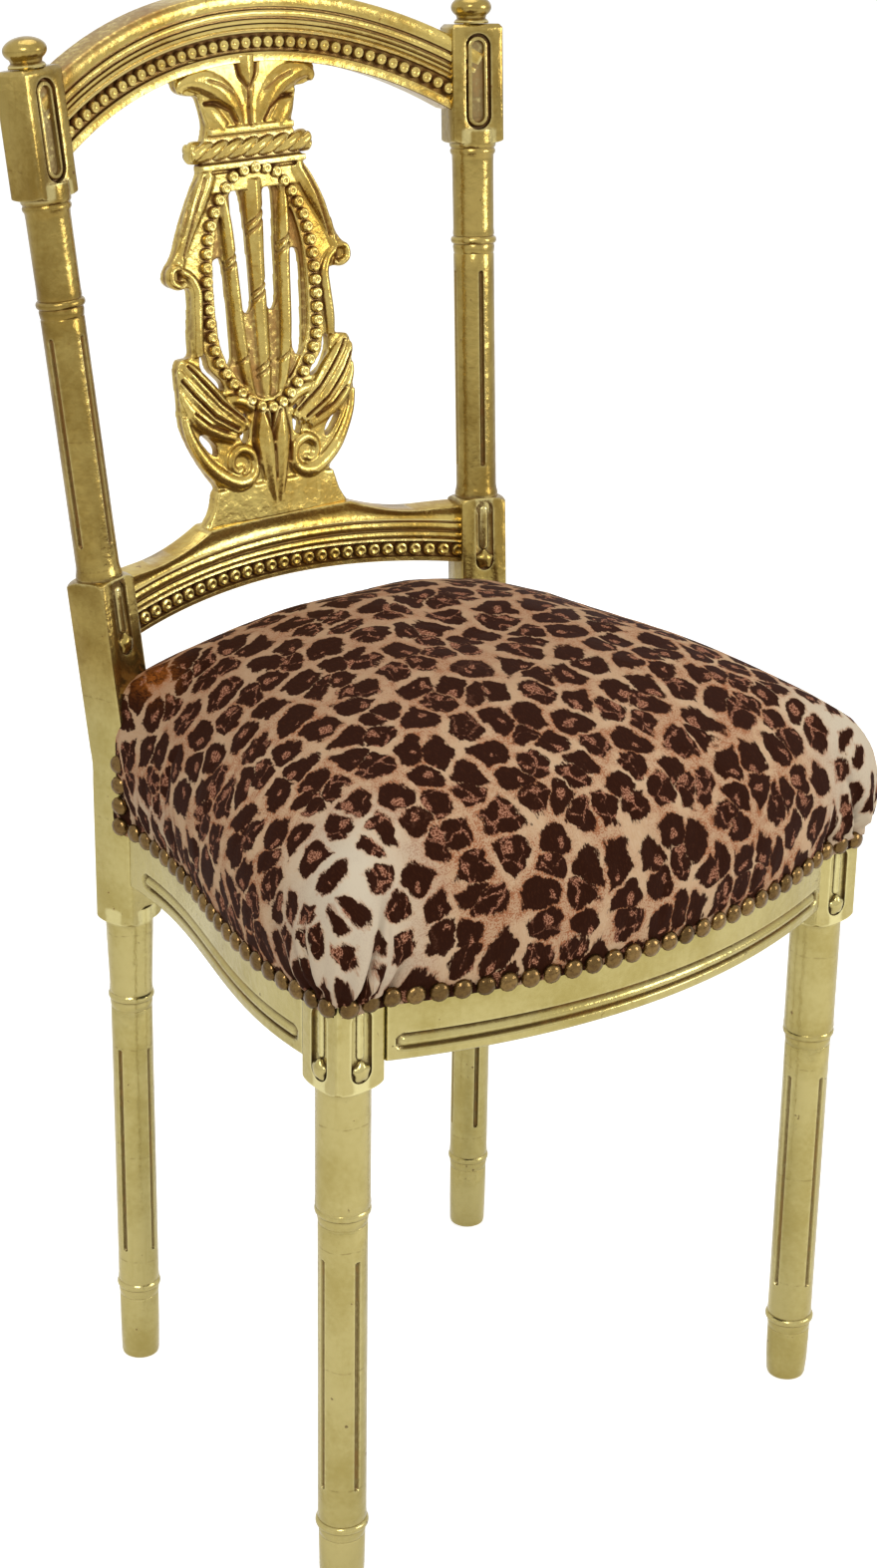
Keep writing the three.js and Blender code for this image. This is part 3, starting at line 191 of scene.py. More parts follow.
def gilding(name, below, above, patina_share, wear_and_highlight):
    """Gold leaf that may turn from one set of colours to another above the seat."""
    finish = Finish(name)
    spot = finish.place()
    height = finish.add("ShaderNodeSeparateXYZ", None, {0: spot}, "Z")
    upper = finish.ease(height, PALE_BELOW, RICH_ABOVE)
    closeness = {"samples": 6, "only_local": True}
    open_share = finish.add("ShaderNodeAmbientOcclusion", closeness, {"Distance": 0.006}, "AO")
    edge_highlight_share = finish.add("ShaderNodeAmbientOcclusion", {**closeness, "inside": True},
                            {"Distance": 0.0022}, "AO")
    cloud = finish.grain(spot, 17, 3)
    fine = finish.grain(spot, 260, 4, 0.6)
    brushed = finish.grain(finish.place(scale=(1, 1, 0.1)), 380, 2)
    hollow = finish.ease(open_share + (fine - 0.5) * 0.3 + (cloud - 0.5) * 0.25, 0.88, 0.4)
    specks = finish.ease(finish.grain(spot, 150, 2, 0.7), 0.7, 0.76) * 0.7
    stained = finish.attribute("toned") * finish.ease(fine + cloud * 0.4, 0.44, 0.72)
    brown = (hollow * patina_share).larger(specks).larger(stained * 0.72)
    # Painted highlight and rubbed leaf: sharp convex edges get the bright colour.
    proud = finish.ease(edge_highlight_share + (fine - 0.5) * 0.3, 0.92, 0.5) * wear_and_highlight

    def blend(index):
        return finish.mix(upper, below[index], above[index])

    color = finish.mix(finish.ease(cloud + (fine - 0.5) * 0.3, 0.34, 0.7), blend(0), blend(1))
    color = finish.mix(finish.ease(brushed, 0.55, 0.75) * 0.25, color, blend(1))
    # The bright edge colour: rubbed leaf and painted highlight together.
    color = finish.mix(proud, color, blend(2))
    orange = finish.ease(cloud + (fine - 0.5) * 0.5, 0.5, 0.62) * 0.55
    color = finish.mix(brown, color, finish.mix(orange, blend(3), ORANGE_GROUND))
    laps = height.work("PINGPONG", height + cloud * 0.012, HALF_LEAF)
    lapped = finish.ease(laps, 0.0007, 0.0002) * finish.ease(fine, 0.42, 0.6)
    color = finish.mix(lapped * 0.3, color, blend(3))
    rough = 0.19 + (cloud - 0.5) * 0.2 + (fine - 0.5) * 0.2 + brown * 0.3
    normal = finish.bump(cloud, 0.0012)
    normal = finish.bump(finish.grain(spot, 75, 2), 0.0005, normal)
    normal = finish.bump(fine, 0.00028, normal)
    normal = finish.bump(brushed, 0.00006, normal)
    finish.give(finish.shader, {"Base Color": color, "Roughness": rough,
                                "Metallic": 0.9 - brown * 0.35, "Normal": normal})
    return finish.material


pale_gilt = gilding("pale_gilt", PALE_LEAF, PALE_LEAF, 0.9, 0.7)
post_gilt = gilding("post_gilt", PALE_LEAF, POST_LEAF, 0.95, 0.55)
rich_gilt = gilding("rich_gilt", RICH_LEAF, RICH_LEAF, 1, 0.6)
print("gilt finishes:", pale_gilt.name, post_gilt.name, rich_gilt.name)

# %% [markdown]
# ## Hidden woods, metal and cloths
# Under the seat are plain beech blocks, steel screws, jute webbing, hessian, wadding and a
# black dust cloth. They are seldom seen, yet each has the grain or weave of its material.

# %% Hidden finishes
def woven(name, thread, shadow, pitch, depth):
    """Crossing threads, each a soft ridge, with some threads darker than others."""
    finish = Finish(name)
    spot = finish.place()
    ridges = []
    for turn in (0, math.pi / 2):
        inputs = {"Vector": finish.place((0, 0, turn)), "Scale": 1 / pitch / 20, "Distortion": 0.6,
                  "Detail": 1, "Detail Scale": 2}
        ridges.append(finish.add("ShaderNodeTexWave", {"wave_profile": "SIN"}, inputs, "Fac"))
    height = ridges[0].larger(ridges[1])
    uneven = finish.grain(spot, 180, 3)
    color = finish.mix(finish.ease(height * 0.7 + uneven * 0.5, 0.35, 0.9), shadow, thread)
    finish.give(finish.shader, {"Base Color": color, "Roughness": 0.92,
                                "Normal": finish.bump(height, depth)})
    return finish.material


def beech():
    finish = Finish("bare_beech")
    growth = finish.grain(finish.place(scale=(1, 0.12, 1)), 160, 4)
    pores = finish.ease(finish.grain(finish.place(scale=(6, 0.5, 6)), 300, 2), 0.6, 0.7)
    color = finish.mix(finish.ease(growth, 0.35, 0.7), paint(196, 158, 108), paint(158, 118, 74))
    color = finish.mix(pores * 0.5, color, paint(104, 72, 42))
    finish.give(finish.shader, {"Base Color": color, "Roughness": 0.6 + growth * 0.2,
                                "Normal": finish.bump(growth, 0.0002)})
    return finish.material


def steel():
    finish = Finish("screw_steel")
    dull = finish.grain(finish.place(), 700, 3)
    color = finish.mix(dull, paint(150, 148, 142), paint(196, 194, 188))
    finish.give(finish.shader, {"Base Color": color, "Metallic": 1.0, "Roughness": 0.25 + dull * 0.25})
    return finish.material


def wadding():
    finish = Finish("wadding")
    fluff = finish.grain(finish.place(), 130, 5, 0.7)
    color = finish.mix(fluff, paint(206, 194, 168), paint(238, 230, 210))
    finish.give(finish.shader, {"Base Color": color, "Roughness": 0.96,
                                "Normal": finish.bump(fluff, 0.002)})
    return finish.material


bare_beech, screw_steel, soft_wadding = beech(), steel(), wadding()
jute_web = woven("jute_webbing", paint(196, 166, 112), paint(118, 88, 50), 0.0022, 0.0005)
hessian_cloth = woven("hessian", paint(188, 158, 106), paint(92, 68, 38), 0.0016, 0.0005)
dust_cloth = woven("black_dust_cloth", paint(52, 50, 48), paint(18, 17, 17), 0.0009, 0.0002)
hidden_finishes = (bare_beech, screw_steel, soft_wadding, jute_web, hessian_cloth, dust_cloth)
print("hidden finishes:", ", ".join(finish.name for finish in hidden_finishes))

# %% [markdown]
# ## Antique brass for the nails
# Each nail has a domed head of brown, antiqued brass.
# A little random number kept in each head changes its tone, as no two are alike.

# %% Nail finish
def nail_brass():
    finish = Finish("antique_nail_brass")
    spot = finish.place()
    tone = finish.attribute("tone")
    stain = finish.grain(spot, 420, 4, 0.65)
    color = finish.mix(tone, paint(94, 71, 36), paint(142, 113, 66))
    color = finish.mix(finish.ease(stain, 0.44, 0.64) * 0.55, color, paint(74, 50, 26))
    normal = finish.bump(finish.grain(spot, 260, 2), 0.0005)
    finish.give(finish.shader, {"Base Color": color, "Metallic": 0.85,
                                "Roughness": 0.1 + stain * 0.18, "Normal": normal})
    return finish.material


nail_finish = nail_brass()
print("nail finish:", nail_finish.name)

# %% [markdown]
# ## The leopard print
# The cloth is cut flat, printed, and then drawn over the seat, so the print reads a map
# that the seat carries: the place of each point in the flat cloth, in metres. The ground is
# tan with a short streaky pile, and darker on the crown. Spots are the cells of a cell
# pattern whose borders are bent by noise. Each spot is nearly black brown with ragged
# edges, many have a small rusty middle, and some are split into a cluster. At the front corners
# and low on the sides near the back the cloth is paler and the spots are smaller: partly the
# print rubbed and stretched there, partly a painted highlight.

# %% Leopard print
SPOT_PITCH = 0.0225  # metres
PRINT_CROWN = (0, 0.23, 0)  # the place in the flat cloth that lies on the crown
INK, RUSTY_INK = paint(44, 16, 3), paint(74, 38, 18)
TAN, WARM_TAN = paint(204, 168, 131), paint(188, 146, 111)


class Cloth(Finish):
    """A finish that reads the flat cloth, and can bend and measure places in it."""

    def __init__(self, name):
        super().__init__(name)
        self.flat = self.add("ShaderNodeUVMap", {"uv_map": "cloth"})

    def vector(self, operation, *values, output=0):
        inputs = dict(enumerate(values))
        return self.add("ShaderNodeVectorMath", {"operation": operation}, inputs, output)

    def bend(self, spot, push, reach):
        """Moves a place by a noise colour, up to half a reach each way."""
        offset = self.vector("SUBTRACT", push, (0.5, 0.5, 0.5))
        return self.vector("MULTIPLY_ADD", offset, (reach, reach, 0), spot)

    def cells(self, feature, output, where, pitch=SPOT_PITCH):
        settings = {"feature": feature, "voronoi_dimensions": "2D"}
        inputs = {"Vector": where, "Scale": 1 / pitch, "Randomness": 0.95}
        return self.add("ShaderNodeTexVoronoi", settings, inputs, output)


def leopard():
    finish = Cloth("leopard_print")
    flat = finish.flat
    pale = finish.attribute("pale")
    wander = finish.grain(flat, 40, 2, 0.5, "Color")
    lobes = finish.grain(flat, 130, 1, 0.5, "Color")
    ragged = finish.grain(flat, 420, 2, 0.6, "Color")
    streaks = finish.add("ShaderNodeMapping", None, {"Vector": flat, "Scale": (1, 0.32, 1)})
    pile = finish.grain(streaks, 760, 2, 0.7)
    speckle = finish.grain(flat, 900, 1, 0.5)
    gap = finish.grain(flat, 110, 2)
    spot = finish.bend(finish.bend(finish.bend(flat, wander, 0.016), lobes, 0.006), ragged, 0.0022)
    border = finish.cells("DISTANCE_TO_EDGE", "Distance", spot)
    corner = finish.ease(finish.cells("F1", "Distance", spot), 0.26, 0.66)
    border = border + (gap - 0.5) * 0.12 + (pile - 0.5) * 0.3 - corner * 0.2 + 0.006 - pale * 0.17
    ink_share = finish.ease(border, -0.055, 0.025)
    halo = finish.ease(border, -0.16, -0.02)
    chance = finish.cells("F1", "Color", spot)
    aside = finish.bend(finish.cells("F1", "Position", spot), chance, 0.011)
    reach = finish.vector("LENGTH", finish.vector("SUBTRACT", spot, aside), output="Value")
    open_middle = finish.add("ShaderNodeSeparateColor", None, {0: chance}, "Blue")
    core = reach + (gap - 0.5) * 0.012 + (pile - 0.5) * 0.004 - open_middle * 0.0028
    core = finish.ease(core, 0.0018, 0.0006) * 0.9
    split = finish.cells("DISTANCE_TO_EDGE", "Distance", spot, SPOT_PITCH * 0.62)
    split = finish.ease(split + (pile - 0.5) * 0.12 + (gap - 0.5) * 0.5, 0.07, 0.0)
    clustered = finish.add("ShaderNodeSeparateColor", None, {0: chance}, "Green")
    core = core.larger(split * finish.ease(clustered, 0.56, 0.62) * 0.85)
    warm = finish.grain(flat, 30, 2)
    ground = finish.mix(finish.ease(warm, 0.38, 0.62), TAN, WARM_TAN)
    ground = finish.mix(finish.ease(pile, 0.35, 0.7) * 0.35, ground, paint(220, 196, 164))
    dotted = finish.ease(speckle + (gap - 0.5) * 0.5 + halo * 0.16, 0.5, 0.66)
    ground = finish.mix(dotted * finish.ease(warm, 0.36, 0.56) * 0.8, ground, paint(160, 92, 54))
    middle = finish.vector("SUBTRACT", flat, PRINT_CROWN)
    crown = finish.vector("LENGTH", middle, output="Value") + (warm - 0.5) * 0.1
    crown = finish.ease(crown, 0.25, 0.12) * 0.5
    ground = finish.mix(crown, ground, paint(168, 130, 100))
    # Paler ground where marked pale: rubbed print and painted highlight.
    ground = finish.mix(pale * (1 - halo * 0.6), ground, paint(214, 202, 178))
    rust = finish.mix(finish.ease(speckle, 0.42, 0.6), paint(92, 48, 30), paint(192, 134, 104))
    ink = finish.mix(finish.ease(pile, 0.48, 0.75) * 0.4, INK, RUSTY_INK)
    color = finish.mix(core, ink, rust)
    color = finish.mix(1 - ink_share, color, ground)
    rusty = finish.attribute("rusty") * finish.ease(pile + gap * 0.5, 0.55, 0.85)
    color = finish.mix(rusty, color, paint(172, 96, 34))
    # Painted shade: darker in the valleys of the pleats.
    color = finish.mix(finish.attribute("fold") * 0.65, color, paint(58, 34, 20))
    normal = finish.bump(finish.grain(flat, 1600, 2), 0.0001)
    normal = finish.bump(finish.grain(flat, 75, 2), 0.0006, normal)
    finish.give(finish.shader, {"Base Color": color, "Roughness": 0.86 - ink_share * 0.08,
                                "Normal": normal})
    finish.shader.inputs["Specular IOR Level"].default_value = 0.08
    return finish.material


leopard_cloth = leopard()
print("cloth finish:", leopard_cloth.name)

# %% [markdown]
# ## Helpers for the forms
# Forms are worked out in millimetres from the axes of the front legs, as a chair maker
# would lay them out, and scaled to metres in the part's own place at the end. `turned`
# spins a profile, `bar` pulls a section out and divides it along its length, and `bent`
# carries every vertex of a straight form onto its curve. Forms are cut, fused and thinned
# by modifiers, each on an object that is dropped afterwards.

# %% Form helpers
MM = 0.001
LEG_AXES = -0.162377  # metres: where the front legs' axes lie in the part's own place
TO_PART = Matrix.Translation((0, LEG_AXES, 0)) @ Matrix.Scale(MM, 4)


def object_from(bm, name):
    mesh = bpy.data.meshes.new(name)
    bm.to_mesh(mesh)
    bm.free()
    made = bpy.data.objects.new(name, mesh)
    bpy.context.scene.collection.objects.link(made)
    return made


def dropped(spare):
    mesh = spare.data
    bpy.data.objects.remove(spare)
    bpy.data.meshes.remove(mesh)


def modified(bm, kind, **settings):
    """A form as one modifier leaves it."""
    body = object_from(bm, "form")
    change = body.modifiers.new("change", kind)
    for key, value in settings.items():
        setattr(change, key, value)
    made = bmesh.new()
    made.from_object(body, bpy.context.evaluated_depsgraph_get())
    dropped(body)
    return made


def show(bm, name, finish, slot, *nodes, sharp=38):
    """A form in millimetres becomes a piece of the chair and stands for its solids."""
    bm.transform(TO_PART)
    piece = object_from(bm, name)
    piece.data.shade_smooth()
    piece.data.set_sharp_from_angle(angle=math.radians(sharp))
    piece.data.materials.append(finish)
    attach(piece, "root")
    if nodes:
        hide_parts(*nodes)
    print(name, len(piece.data.polygons), "faces")
    return piece


def toned_layer(bm):
    """Where a form is stained by the toning, from 0 to 1, one value for each vertex."""
    return bm.verts.layers.float.get("toned") or bm.verts.layers.float.new("toned")


def taken(*forms):
    """Several forms in one bmesh, with the others freed."""
    for form in forms:
        toned_layer(form)
    whole = forms[0]
    for form in forms[1:]:
        spare = bpy.data.meshes.new("spare")
        form.to_mesh(spare)
        form.free()
        whole.from_mesh(spare)
        bpy.data.meshes.remove(spare)
    return whole


def turned(profile, sides=96):
    """Radius and height pairs spun about the upright axis and closed at both ends."""
    bm = bmesh.new()
    line = [(0, profile[0][1]), *profile, (0, profile[-1][1])]
    spots = [bm.verts.new((radius, 0, height)) for radius, height in line]
    edges = [bm.edges.new(pair) for pair in zip(spots, spots[1:])]
    bmesh.ops.spin(bm, geom=spots + edges, cent=(0, 0, 0), axis=(0, 0, 1), angle=2 * math.pi,
                   steps=sides, use_merge=True)
    bmesh.ops.remove_doubles(bm, verts=bm.verts, dist=0.001)
    bmesh.ops.recalc_face_normals(bm, faces=bm.faces)
    return bm


def bent(bm, place):
    for vert in bm.verts:
        vert.co = place(*vert.co)
    bmesh.ops.recalc_face_normals(bm, faces=bm.faces)
    return bm


def pulled_along(bm, way):
    """The faces of a flat form pulled out into a solid."""
    pulled = bmesh.ops.extrude_face_region(bm, geom=bm.faces[:])["geom"]
    far = [part for part in pulled if isinstance(part, bmesh.types.BMVert)]
    bmesh.ops.translate(bm, verts=far, vec=way)


def bar(section, start, end, stations):
    """A section of depth and height pairs pulled out along X and divided."""
    bm = bmesh.new()
    bm.faces.new([bm.verts.new((start, depth, height)) for depth, height in section])
    pulled_along(bm, (end - start, 0, 0))
    long_edges = [edge for edge in bm.edges if abs(edge.verts[0].co.x - edge.verts[1].co.x) > 1]
    bmesh.ops.subdivide_edges(bm, edges=long_edges, cuts=stations - 1, use_grid_fill=True)
    return bm


def stadium(width, bottom, top, front, back, steps=40):
    """A round-ended upright prism between two depths."""
    bm = bmesh.new()
    bmesh.ops.create_circle(bm, cap_ends=True, radius=width / 2, segments=steps)
    bmesh.ops.rotate(bm, verts=bm.verts, matrix=Matrix.Rotation(math.pi / 2, 3, "X"))
    for vert in bm.verts:
        vert.co.z += (top - width / 2) if vert.co.z > 0 else (bottom + width / 2)
    bmesh.ops.translate(bm, verts=bm.verts, vec=(0, front, 0))
    pulled_along(bm, (0, back - front, 0))
    bmesh.ops.recalc_face_normals(bm, faces=bm.faces)
    return bm


def trimmed(bm, tool, operation="DIFFERENCE"):
    """One form cut by another, or kept only inside it."""
    toned_layer(bm)
    toned_layer(tool)
    knife = object_from(tool, "knife")
    cut = modified(bm, "BOOLEAN", operation=operation, object=knife, solver="EXACT")
    dropped(knife)
    return cut


def eased(bm, width, angle=32, segments=2):
    """Every edge sharper than an angle gets a small round, as gesso leaves it."""
    keen = [edge for edge in bm.edges
            if len(edge.link_faces) == 2 and edge.calc_face_angle(0) > math.radians(angle)]
    bmesh.ops.bevel(bm, geom=keen, offset=width, offset_type="OFFSET", affect="EDGES",
                    segments=segments, profile=0.5, material=-1, clamp_overlap=True)
    return bm


def through(points, steps=8, closed=False):
    """A smooth line through rows of numbers."""
    rows = [np.array(point, float) for point in points]
    ring = rows[-1:] + rows + rows[:2] if closed else rows[:1] + rows + rows[-1:]
    line = []
    for before, start, end, after in zip(ring, ring[1:], ring[2:], ring[3:]):
        for share in np.arange(steps) / steps:
            line.append(0.5 * (2 * start + (end - before) * share
                               + (2 * before - 5 * start + 4 * end - after) * share ** 2
                               + (3 * start - before - 3 * end + after) * share ** 3))
    return line if closed else line + [rows[-1]]


def mirrored(points):
    """The left half of an outline, from its right half, in the order that closes it."""
    return [(-x, y) for x, y in reversed(points)]


print("form helpers ready")

# %% [markdown]
# ## Where the legs and posts stand
# The front legs are upright. Each back post is upright below the seat and leans back and
# outwards above it, and its square faces turn towards the middle of the bowed back.

# %% Frames of the legs and posts
LEG_X = 194
POST_X, POST_Y = 148, 296
KNEE = 446
RAKE, SPLAY = 0.1152, 0.0561
BACK_BOW = 26
TURN = math.radians(18)


def front_leg_frame(side):
    return Matrix.Translation((side * LEG_X, 0, 0))


def back_leg_frame(side):
    return Matrix.Translation((side * POST_X, POST_Y, 0)) @ Matrix.Rotation(-side * TURN, 4, "Z")


def post_frame(side):
    axis = Vector((side * SPLAY, RAKE, 1)).normalized()
    lean = Vector((0, 0, 1)).rotation_difference(axis).to_matrix().to_4x4()
    return (Matrix.Translation((side * POST_X, POST_Y, KNEE)) @ lean
            @ Matrix.Rotation(-side * TURN, 4, "Z"))


def along_post(height):
    return (height - KNEE) * math.hypot(1, RAKE, SPLAY)


def back_half(height):
    return POST_X + SPLAY * (height - KNEE)


def back_face(x, height):
    """The bowed face that both back rails follow, hollow side to the front."""
    return POST_Y + RAKE * (height - KNEE) - 9 + BACK_BOW * (1 - (x / back_half(height)) ** 2)


print("half width of the back:", round(back_half(870), 1), "mm")

# %% [markdown]
# ## Turned legs and posts
# The turnings copy bamboo: a straight stem with narrow rings, each with a fine line below
# it, and four flutes cut along the stem. A profile spun about the axis gives the stem. The
# flutes are pressed into it afterwards, vertex by vertex, because a flute ends in a half
# round that no profile can give.

# %% Bamboo turnings
def bamboo_ring(height, below, crest, above):
    steps = [(below, -9.6), (below - 0.35, -8.8), (below, -8), (below + 0.4, -4.4), (below - 0.1, -2.6),
             (crest - 0.7, -2), (crest - 0.15, -1.2), (crest, 0), (crest - 0.15, 1.2), (crest - 0.7, 2),
             (above - 0.1, 2.6), (above + 0.3, 4.2), (above, 8)]
    return [(radius, height + rise) for radius, rise in steps]


STEM_SIDES = 144
SMALL_SIDES = 72


def flute_steps(radius, bottom, top):
    ends = [-1, -0.2, 0.4, 1, 1.8, 3]
    middle = np.linspace(bottom + 10, top - 10, 8)
    heights = [*(bottom + end for end in ends), *middle, *(top - end for end in reversed(ends))]
    return [(radius, height) for height in heights]


def press_flutes(bm, radius, bottom, top, width=3.4, depth=2.3):
    half, toned = width / 2, toned_layer(bm)
    for vert in bm.verts:
        x, y, height = vert.co
        reach = math.hypot(x, y)
        if reach < radius / 2 or not bottom - 1 < height < top + 1:
            continue
        angle = math.atan2(y, x)
        aside = (angle / (math.pi / 2) - round(angle / (math.pi / 2))) * (math.pi / 2) * radius
        ahead = height - min(max(height, bottom + half), top - half)
        away = math.hypot(aside, ahead) / half
        if away < 1:
            vert[toned] = 0.9
            share = (reach - depth * math.sqrt(1 - away ** 2)) / reach
            vert.co.x, vert.co.y = x * share, y * share
    return bm


def front_stem():
    profile = [(11, 0), (12.6, 1), (13.3, 3), (14.1, 14), *bamboo_ring(47, 14.4, 16.5, 15),
               *flute_steps(15, 75, 236), *bamboo_ring(267, 15, 17, 16.5), (16.5, 300), (16.5, 362)]
    return press_flutes(turned(profile, STEM_SIDES), 15, 75, 236)


def back_stem():
    profile = [(11, 0), (12.4, 1), (12.9, 3), (13.3, 20), *bamboo_ring(57, 13.4, 14.9, 13.8),
               *flute_steps(13.8, 86, 241), *bamboo_ring(279, 13.8, 15.3, 14.2), (15.4, 322), (16, 345)]
    return press_flutes(turned(profile, STEM_SIDES), 13.8, 86, 241)


def post_stem():
    low, high, ring, top = (along_post(h) for h in (590, 722, 742, 806))
    foot = [(13.8, 558), (14.6, 568), (14.9, 570.5), (14.2, 573), (13.8, 576)]
    head = [(14, -12), (14.2, -8), (15.2, -6.5), (15.4, -5), (14.6, -3.4), (15.6, -2), (15.8, 0),
            (15.8, 9)]
    profile = [*((radius, along_post(h)) for radius, h in foot), *flute_steps(13.8, low, high),
               *bamboo_ring(ring, 13.8, 15.5, 13.8), *((radius, top + rise) for radius, rise in head)]
    return press_flutes(turned(profile, STEM_SIDES), 13.8, low, high)


print("stems: front leg, back leg and post")

# %% [markdown]
# ## Square blocks with sunk panels
# Where rails meet a leg the wood stays square, with softened corners, and rounds off quickly
# into the turning. Each face that shows has a round-ended sunk panel with a raised reed in it,
# and in the top blocks the reed is a ring round a punched floor. A block is a box whose
# ends are kept inside a turned form, and the panel is cut from it.

# %% Blocks and panels
SHOULDER_RISE = 6.5
SOFT_EDGE = 0.45


def block(width, depth, bottom, top, corner=2):
    bm = bmesh.new()
    bmesh.ops.create_cube(bm, size=1)
    bmesh.ops.scale(bm, vec=(width, depth, top - bottom), verts=bm.verts)
    bmesh.ops.translate(bm, vec=(0, 0, (top + bottom) / 2), verts=bm.verts)
    upright = [edge for edge in bm.edges if abs(edge.verts[0].co.z - edge.verts[1].co.z) > 1]
    bmesh.ops.bevel(bm, geom=upright, offset=corner, offset_type="OFFSET", affect="EDGES",
                    segments=2, profile=0.5, material=-1)
    return bm


def shoulder(radius, reach, start, end):
    """A round form that widens like a quarter circle from one end of a block."""
    rise = math.copysign(SHOULDER_RISE, end - start)
    curve = [(radius + (reach - radius) * math.sin(a), start + rise * (1 - math.cos(a)))
             for a in np.linspace(0, math.pi / 2, 7)]
    return turned([*curve, (reach, end)], SMALL_SIDES)


def panel(width, bottom, top, face, deep=2):
    """The knife for a sunk panel in the face towards the front. It leaves toned walls."""
    knife = stadium(width, bottom, top, face - 3, face + deep)
    toned = toned_layer(knife)
    for vert in knife.verts:
        vert[toned] = 1
    return knife


def reed(width, bottom, top, face, sunk=0.6, ring=False):
    """The raised reed in a panel, or a ring with a lower floor inside it."""
    bm = stadium(width, bottom, top, face + sunk, face + 9)
    front = [f for f in bm.faces if f.normal.y < -0.9]
    bmesh.ops.bevel(bm, geom=front[0].edges[:], offset=1.4 if ring else 2.6, offset_type="OFFSET",
                    affect="EDGES", segments=4, profile=0.5, material=-1)
    if ring:
        front = [f for f in bm.faces if f.normal.y < -0.99]
        bmesh.ops.inset_region(bm, faces=front, thickness=1.2)
        bmesh.ops.inset_region(bm, faces=front, thickness=0.7, depth=-2.4)
        toned = toned_layer(bm)
        for vert in front[0].verts:
            vert[toned] = 1
    return bm


def knob(height, face):
    """The carved bud, with five petals, that closes a panel at its foot."""
    bm = bmesh.new()
    bmesh.ops.create_uvsphere(bm, u_segments=30, v_segments=16, radius=1)
    for vert in bm.verts:
        petal = 1 + 0.13 * math.cos(5 * math.atan2(vert.co.x, vert.co.z)) * (1 - vert.co.y ** 2)
        vert.co = (vert.co.x * petal, vert.co.y, vert.co.z * petal)
    bmesh.ops.scale(bm, verts=bm.verts, vec=(6, 4.2, 6.4))
    bmesh.ops.translate(bm, verts=bm.verts, vec=(0, face + 1.2, height))
    return bm


def turn_to(bm, angle):
    bmesh.ops.rotate(bm, verts=bm.verts, matrix=Matrix.Rotation(angle, 3, "Z"))
    return bm


def front_leg(side):
    width, face = 35, -17.5
    square = trimmed(block(width, width, 350, 415.7), shoulder(16.5, 25, 350, 430), "INTERSECT")
    reeds = []
    for angle in (0, side * math.pi / 2):
        square = trimmed(square, turn_to(panel(15, 356, 403, face), angle))
        reeds.append(turn_to(reed(6, 370.5, 402, face, 0), angle))
        reeds.append(turn_to(knob(363.4, face), angle))
    whole = taken(eased(square, SOFT_EDGE), front_stem(), *reeds)
    whole.transform(front_leg_frame(side))
    return whole


BEND_REACH = 12
POST_BLOCK_TOP, STEM_TOP, POST_TOP = 568, 806, 883


def bend_at_knee(side):
    below, above = back_leg_frame(side), post_frame(side)

    def place(x, y, height):
        low = below @ Vector((x, y, height))
        high = above @ Vector((x, y, along_post(height)))
        share = min(max((height - KNEE + BEND_REACH) / (2 * BEND_REACH), 0), 1)
        return low.lerp(high, share)

    return place


def back_post(side):
    low = block(33, 30, 335, POST_BLOCK_TOP)
    low = trimmed(low, shoulder(16, 22.5, 335, 600), "INTERSECT")
    low = trimmed(low, shoulder(14.5, 22.5, POST_BLOCK_TOP, 300), "INTERSECT")
    low = trimmed(low, panel(13, 518, 565.5, -15))
    for height in range(KNEE - BEND_REACH, KNEE + BEND_REACH + 1, 6):
        bmesh.ops.bisect_plane(low, geom=low.verts[:] + low.edges[:] + low.faces[:],
                               plane_co=(0, 0, height), plane_no=(0, 0, 1))
    low = taken(eased(low, SOFT_EDGE), reed(7, 532, 563.3, -15, 0), knob(525.4, -15))
    bent(low, bend_at_knee(side))
    bottom, top = along_post(STEM_TOP), along_post(POST_TOP)
    head = trimmed(block(37, 25, bottom, top, 2.4), shoulder(15.6, 24, bottom, top + 9), "INTERSECT")
    rim = [edge for edge in head.edges
           if all(vert.co.z > top - 0.1 for vert in edge.verts) and edge.calc_face_angle(0) > 1]
    bmesh.ops.bevel(head, geom=rim, offset=2.4, offset_type="OFFSET", affect="EDGES", segments=1,
                    profile=0.5, material=-1)
    head = trimmed(head, panel(18, bottom + 9, top - 6, -12.5, 4))
    ring = reed(14.4, bottom + 10.8, top - 7.8, -12.5, 0.5, True)
    head = taken(eased(head, SOFT_EDGE), ring, post_stem())
    head.transform(post_frame(side))
    leg = back_stem()
    leg.transform(back_leg_frame(side))
    return taken(low, head, leg)


for side, hand in ((-1, "left"), (1, "right")):
    show(front_leg(side), f"turned_front_leg_{hand}", pale_gilt, "gilt", f"front_leg_{hand}")
    show(back_post(side), f"turned_back_post_{hand}", post_gilt, "gilt", f"back_post_{hand}")

# %% [markdown]
# ## Finials
# A flattened bun on a short neck closes each post. Its dowel is hidden in the post, so the
# profile starts a little inside the wood.

# %% Buns on the posts
def finial(side):
    base = along_post(POST_TOP) + 0.3
    bun = [(13.6 * math.cos(a), base + 10.4 + 8 * math.sin(a)) for a in np.linspace(-0.72, 1.5, 14)]
    bm = turned([(5, base - 11), (5, base), (11.4, base), (11.8, base + 0.9), (11.2, base + 1.9),
                 (9.6, base + 3.2), (10, base + 4.4), *bun], SMALL_SIDES)
    bm.transform(post_frame(side))
    return bm


for side, hand in ((-1, "left"), (1, "right")):
    show(finial(side), f"bun_{hand}", post_gilt, "gilt", f"finial_{hand}")

# %% [markdown]
# ## Seat rails
# The front rail bows forward and the side rails draw in towards the back in a long S. Near
# the lower edge of each runs a round-ended groove with two reeds. The face is a fine grid
# that is given the rail's thickness. The groove is pressed into it by the distance of each
# point from the groove's end line, and then the straight rail is carried onto its curve.

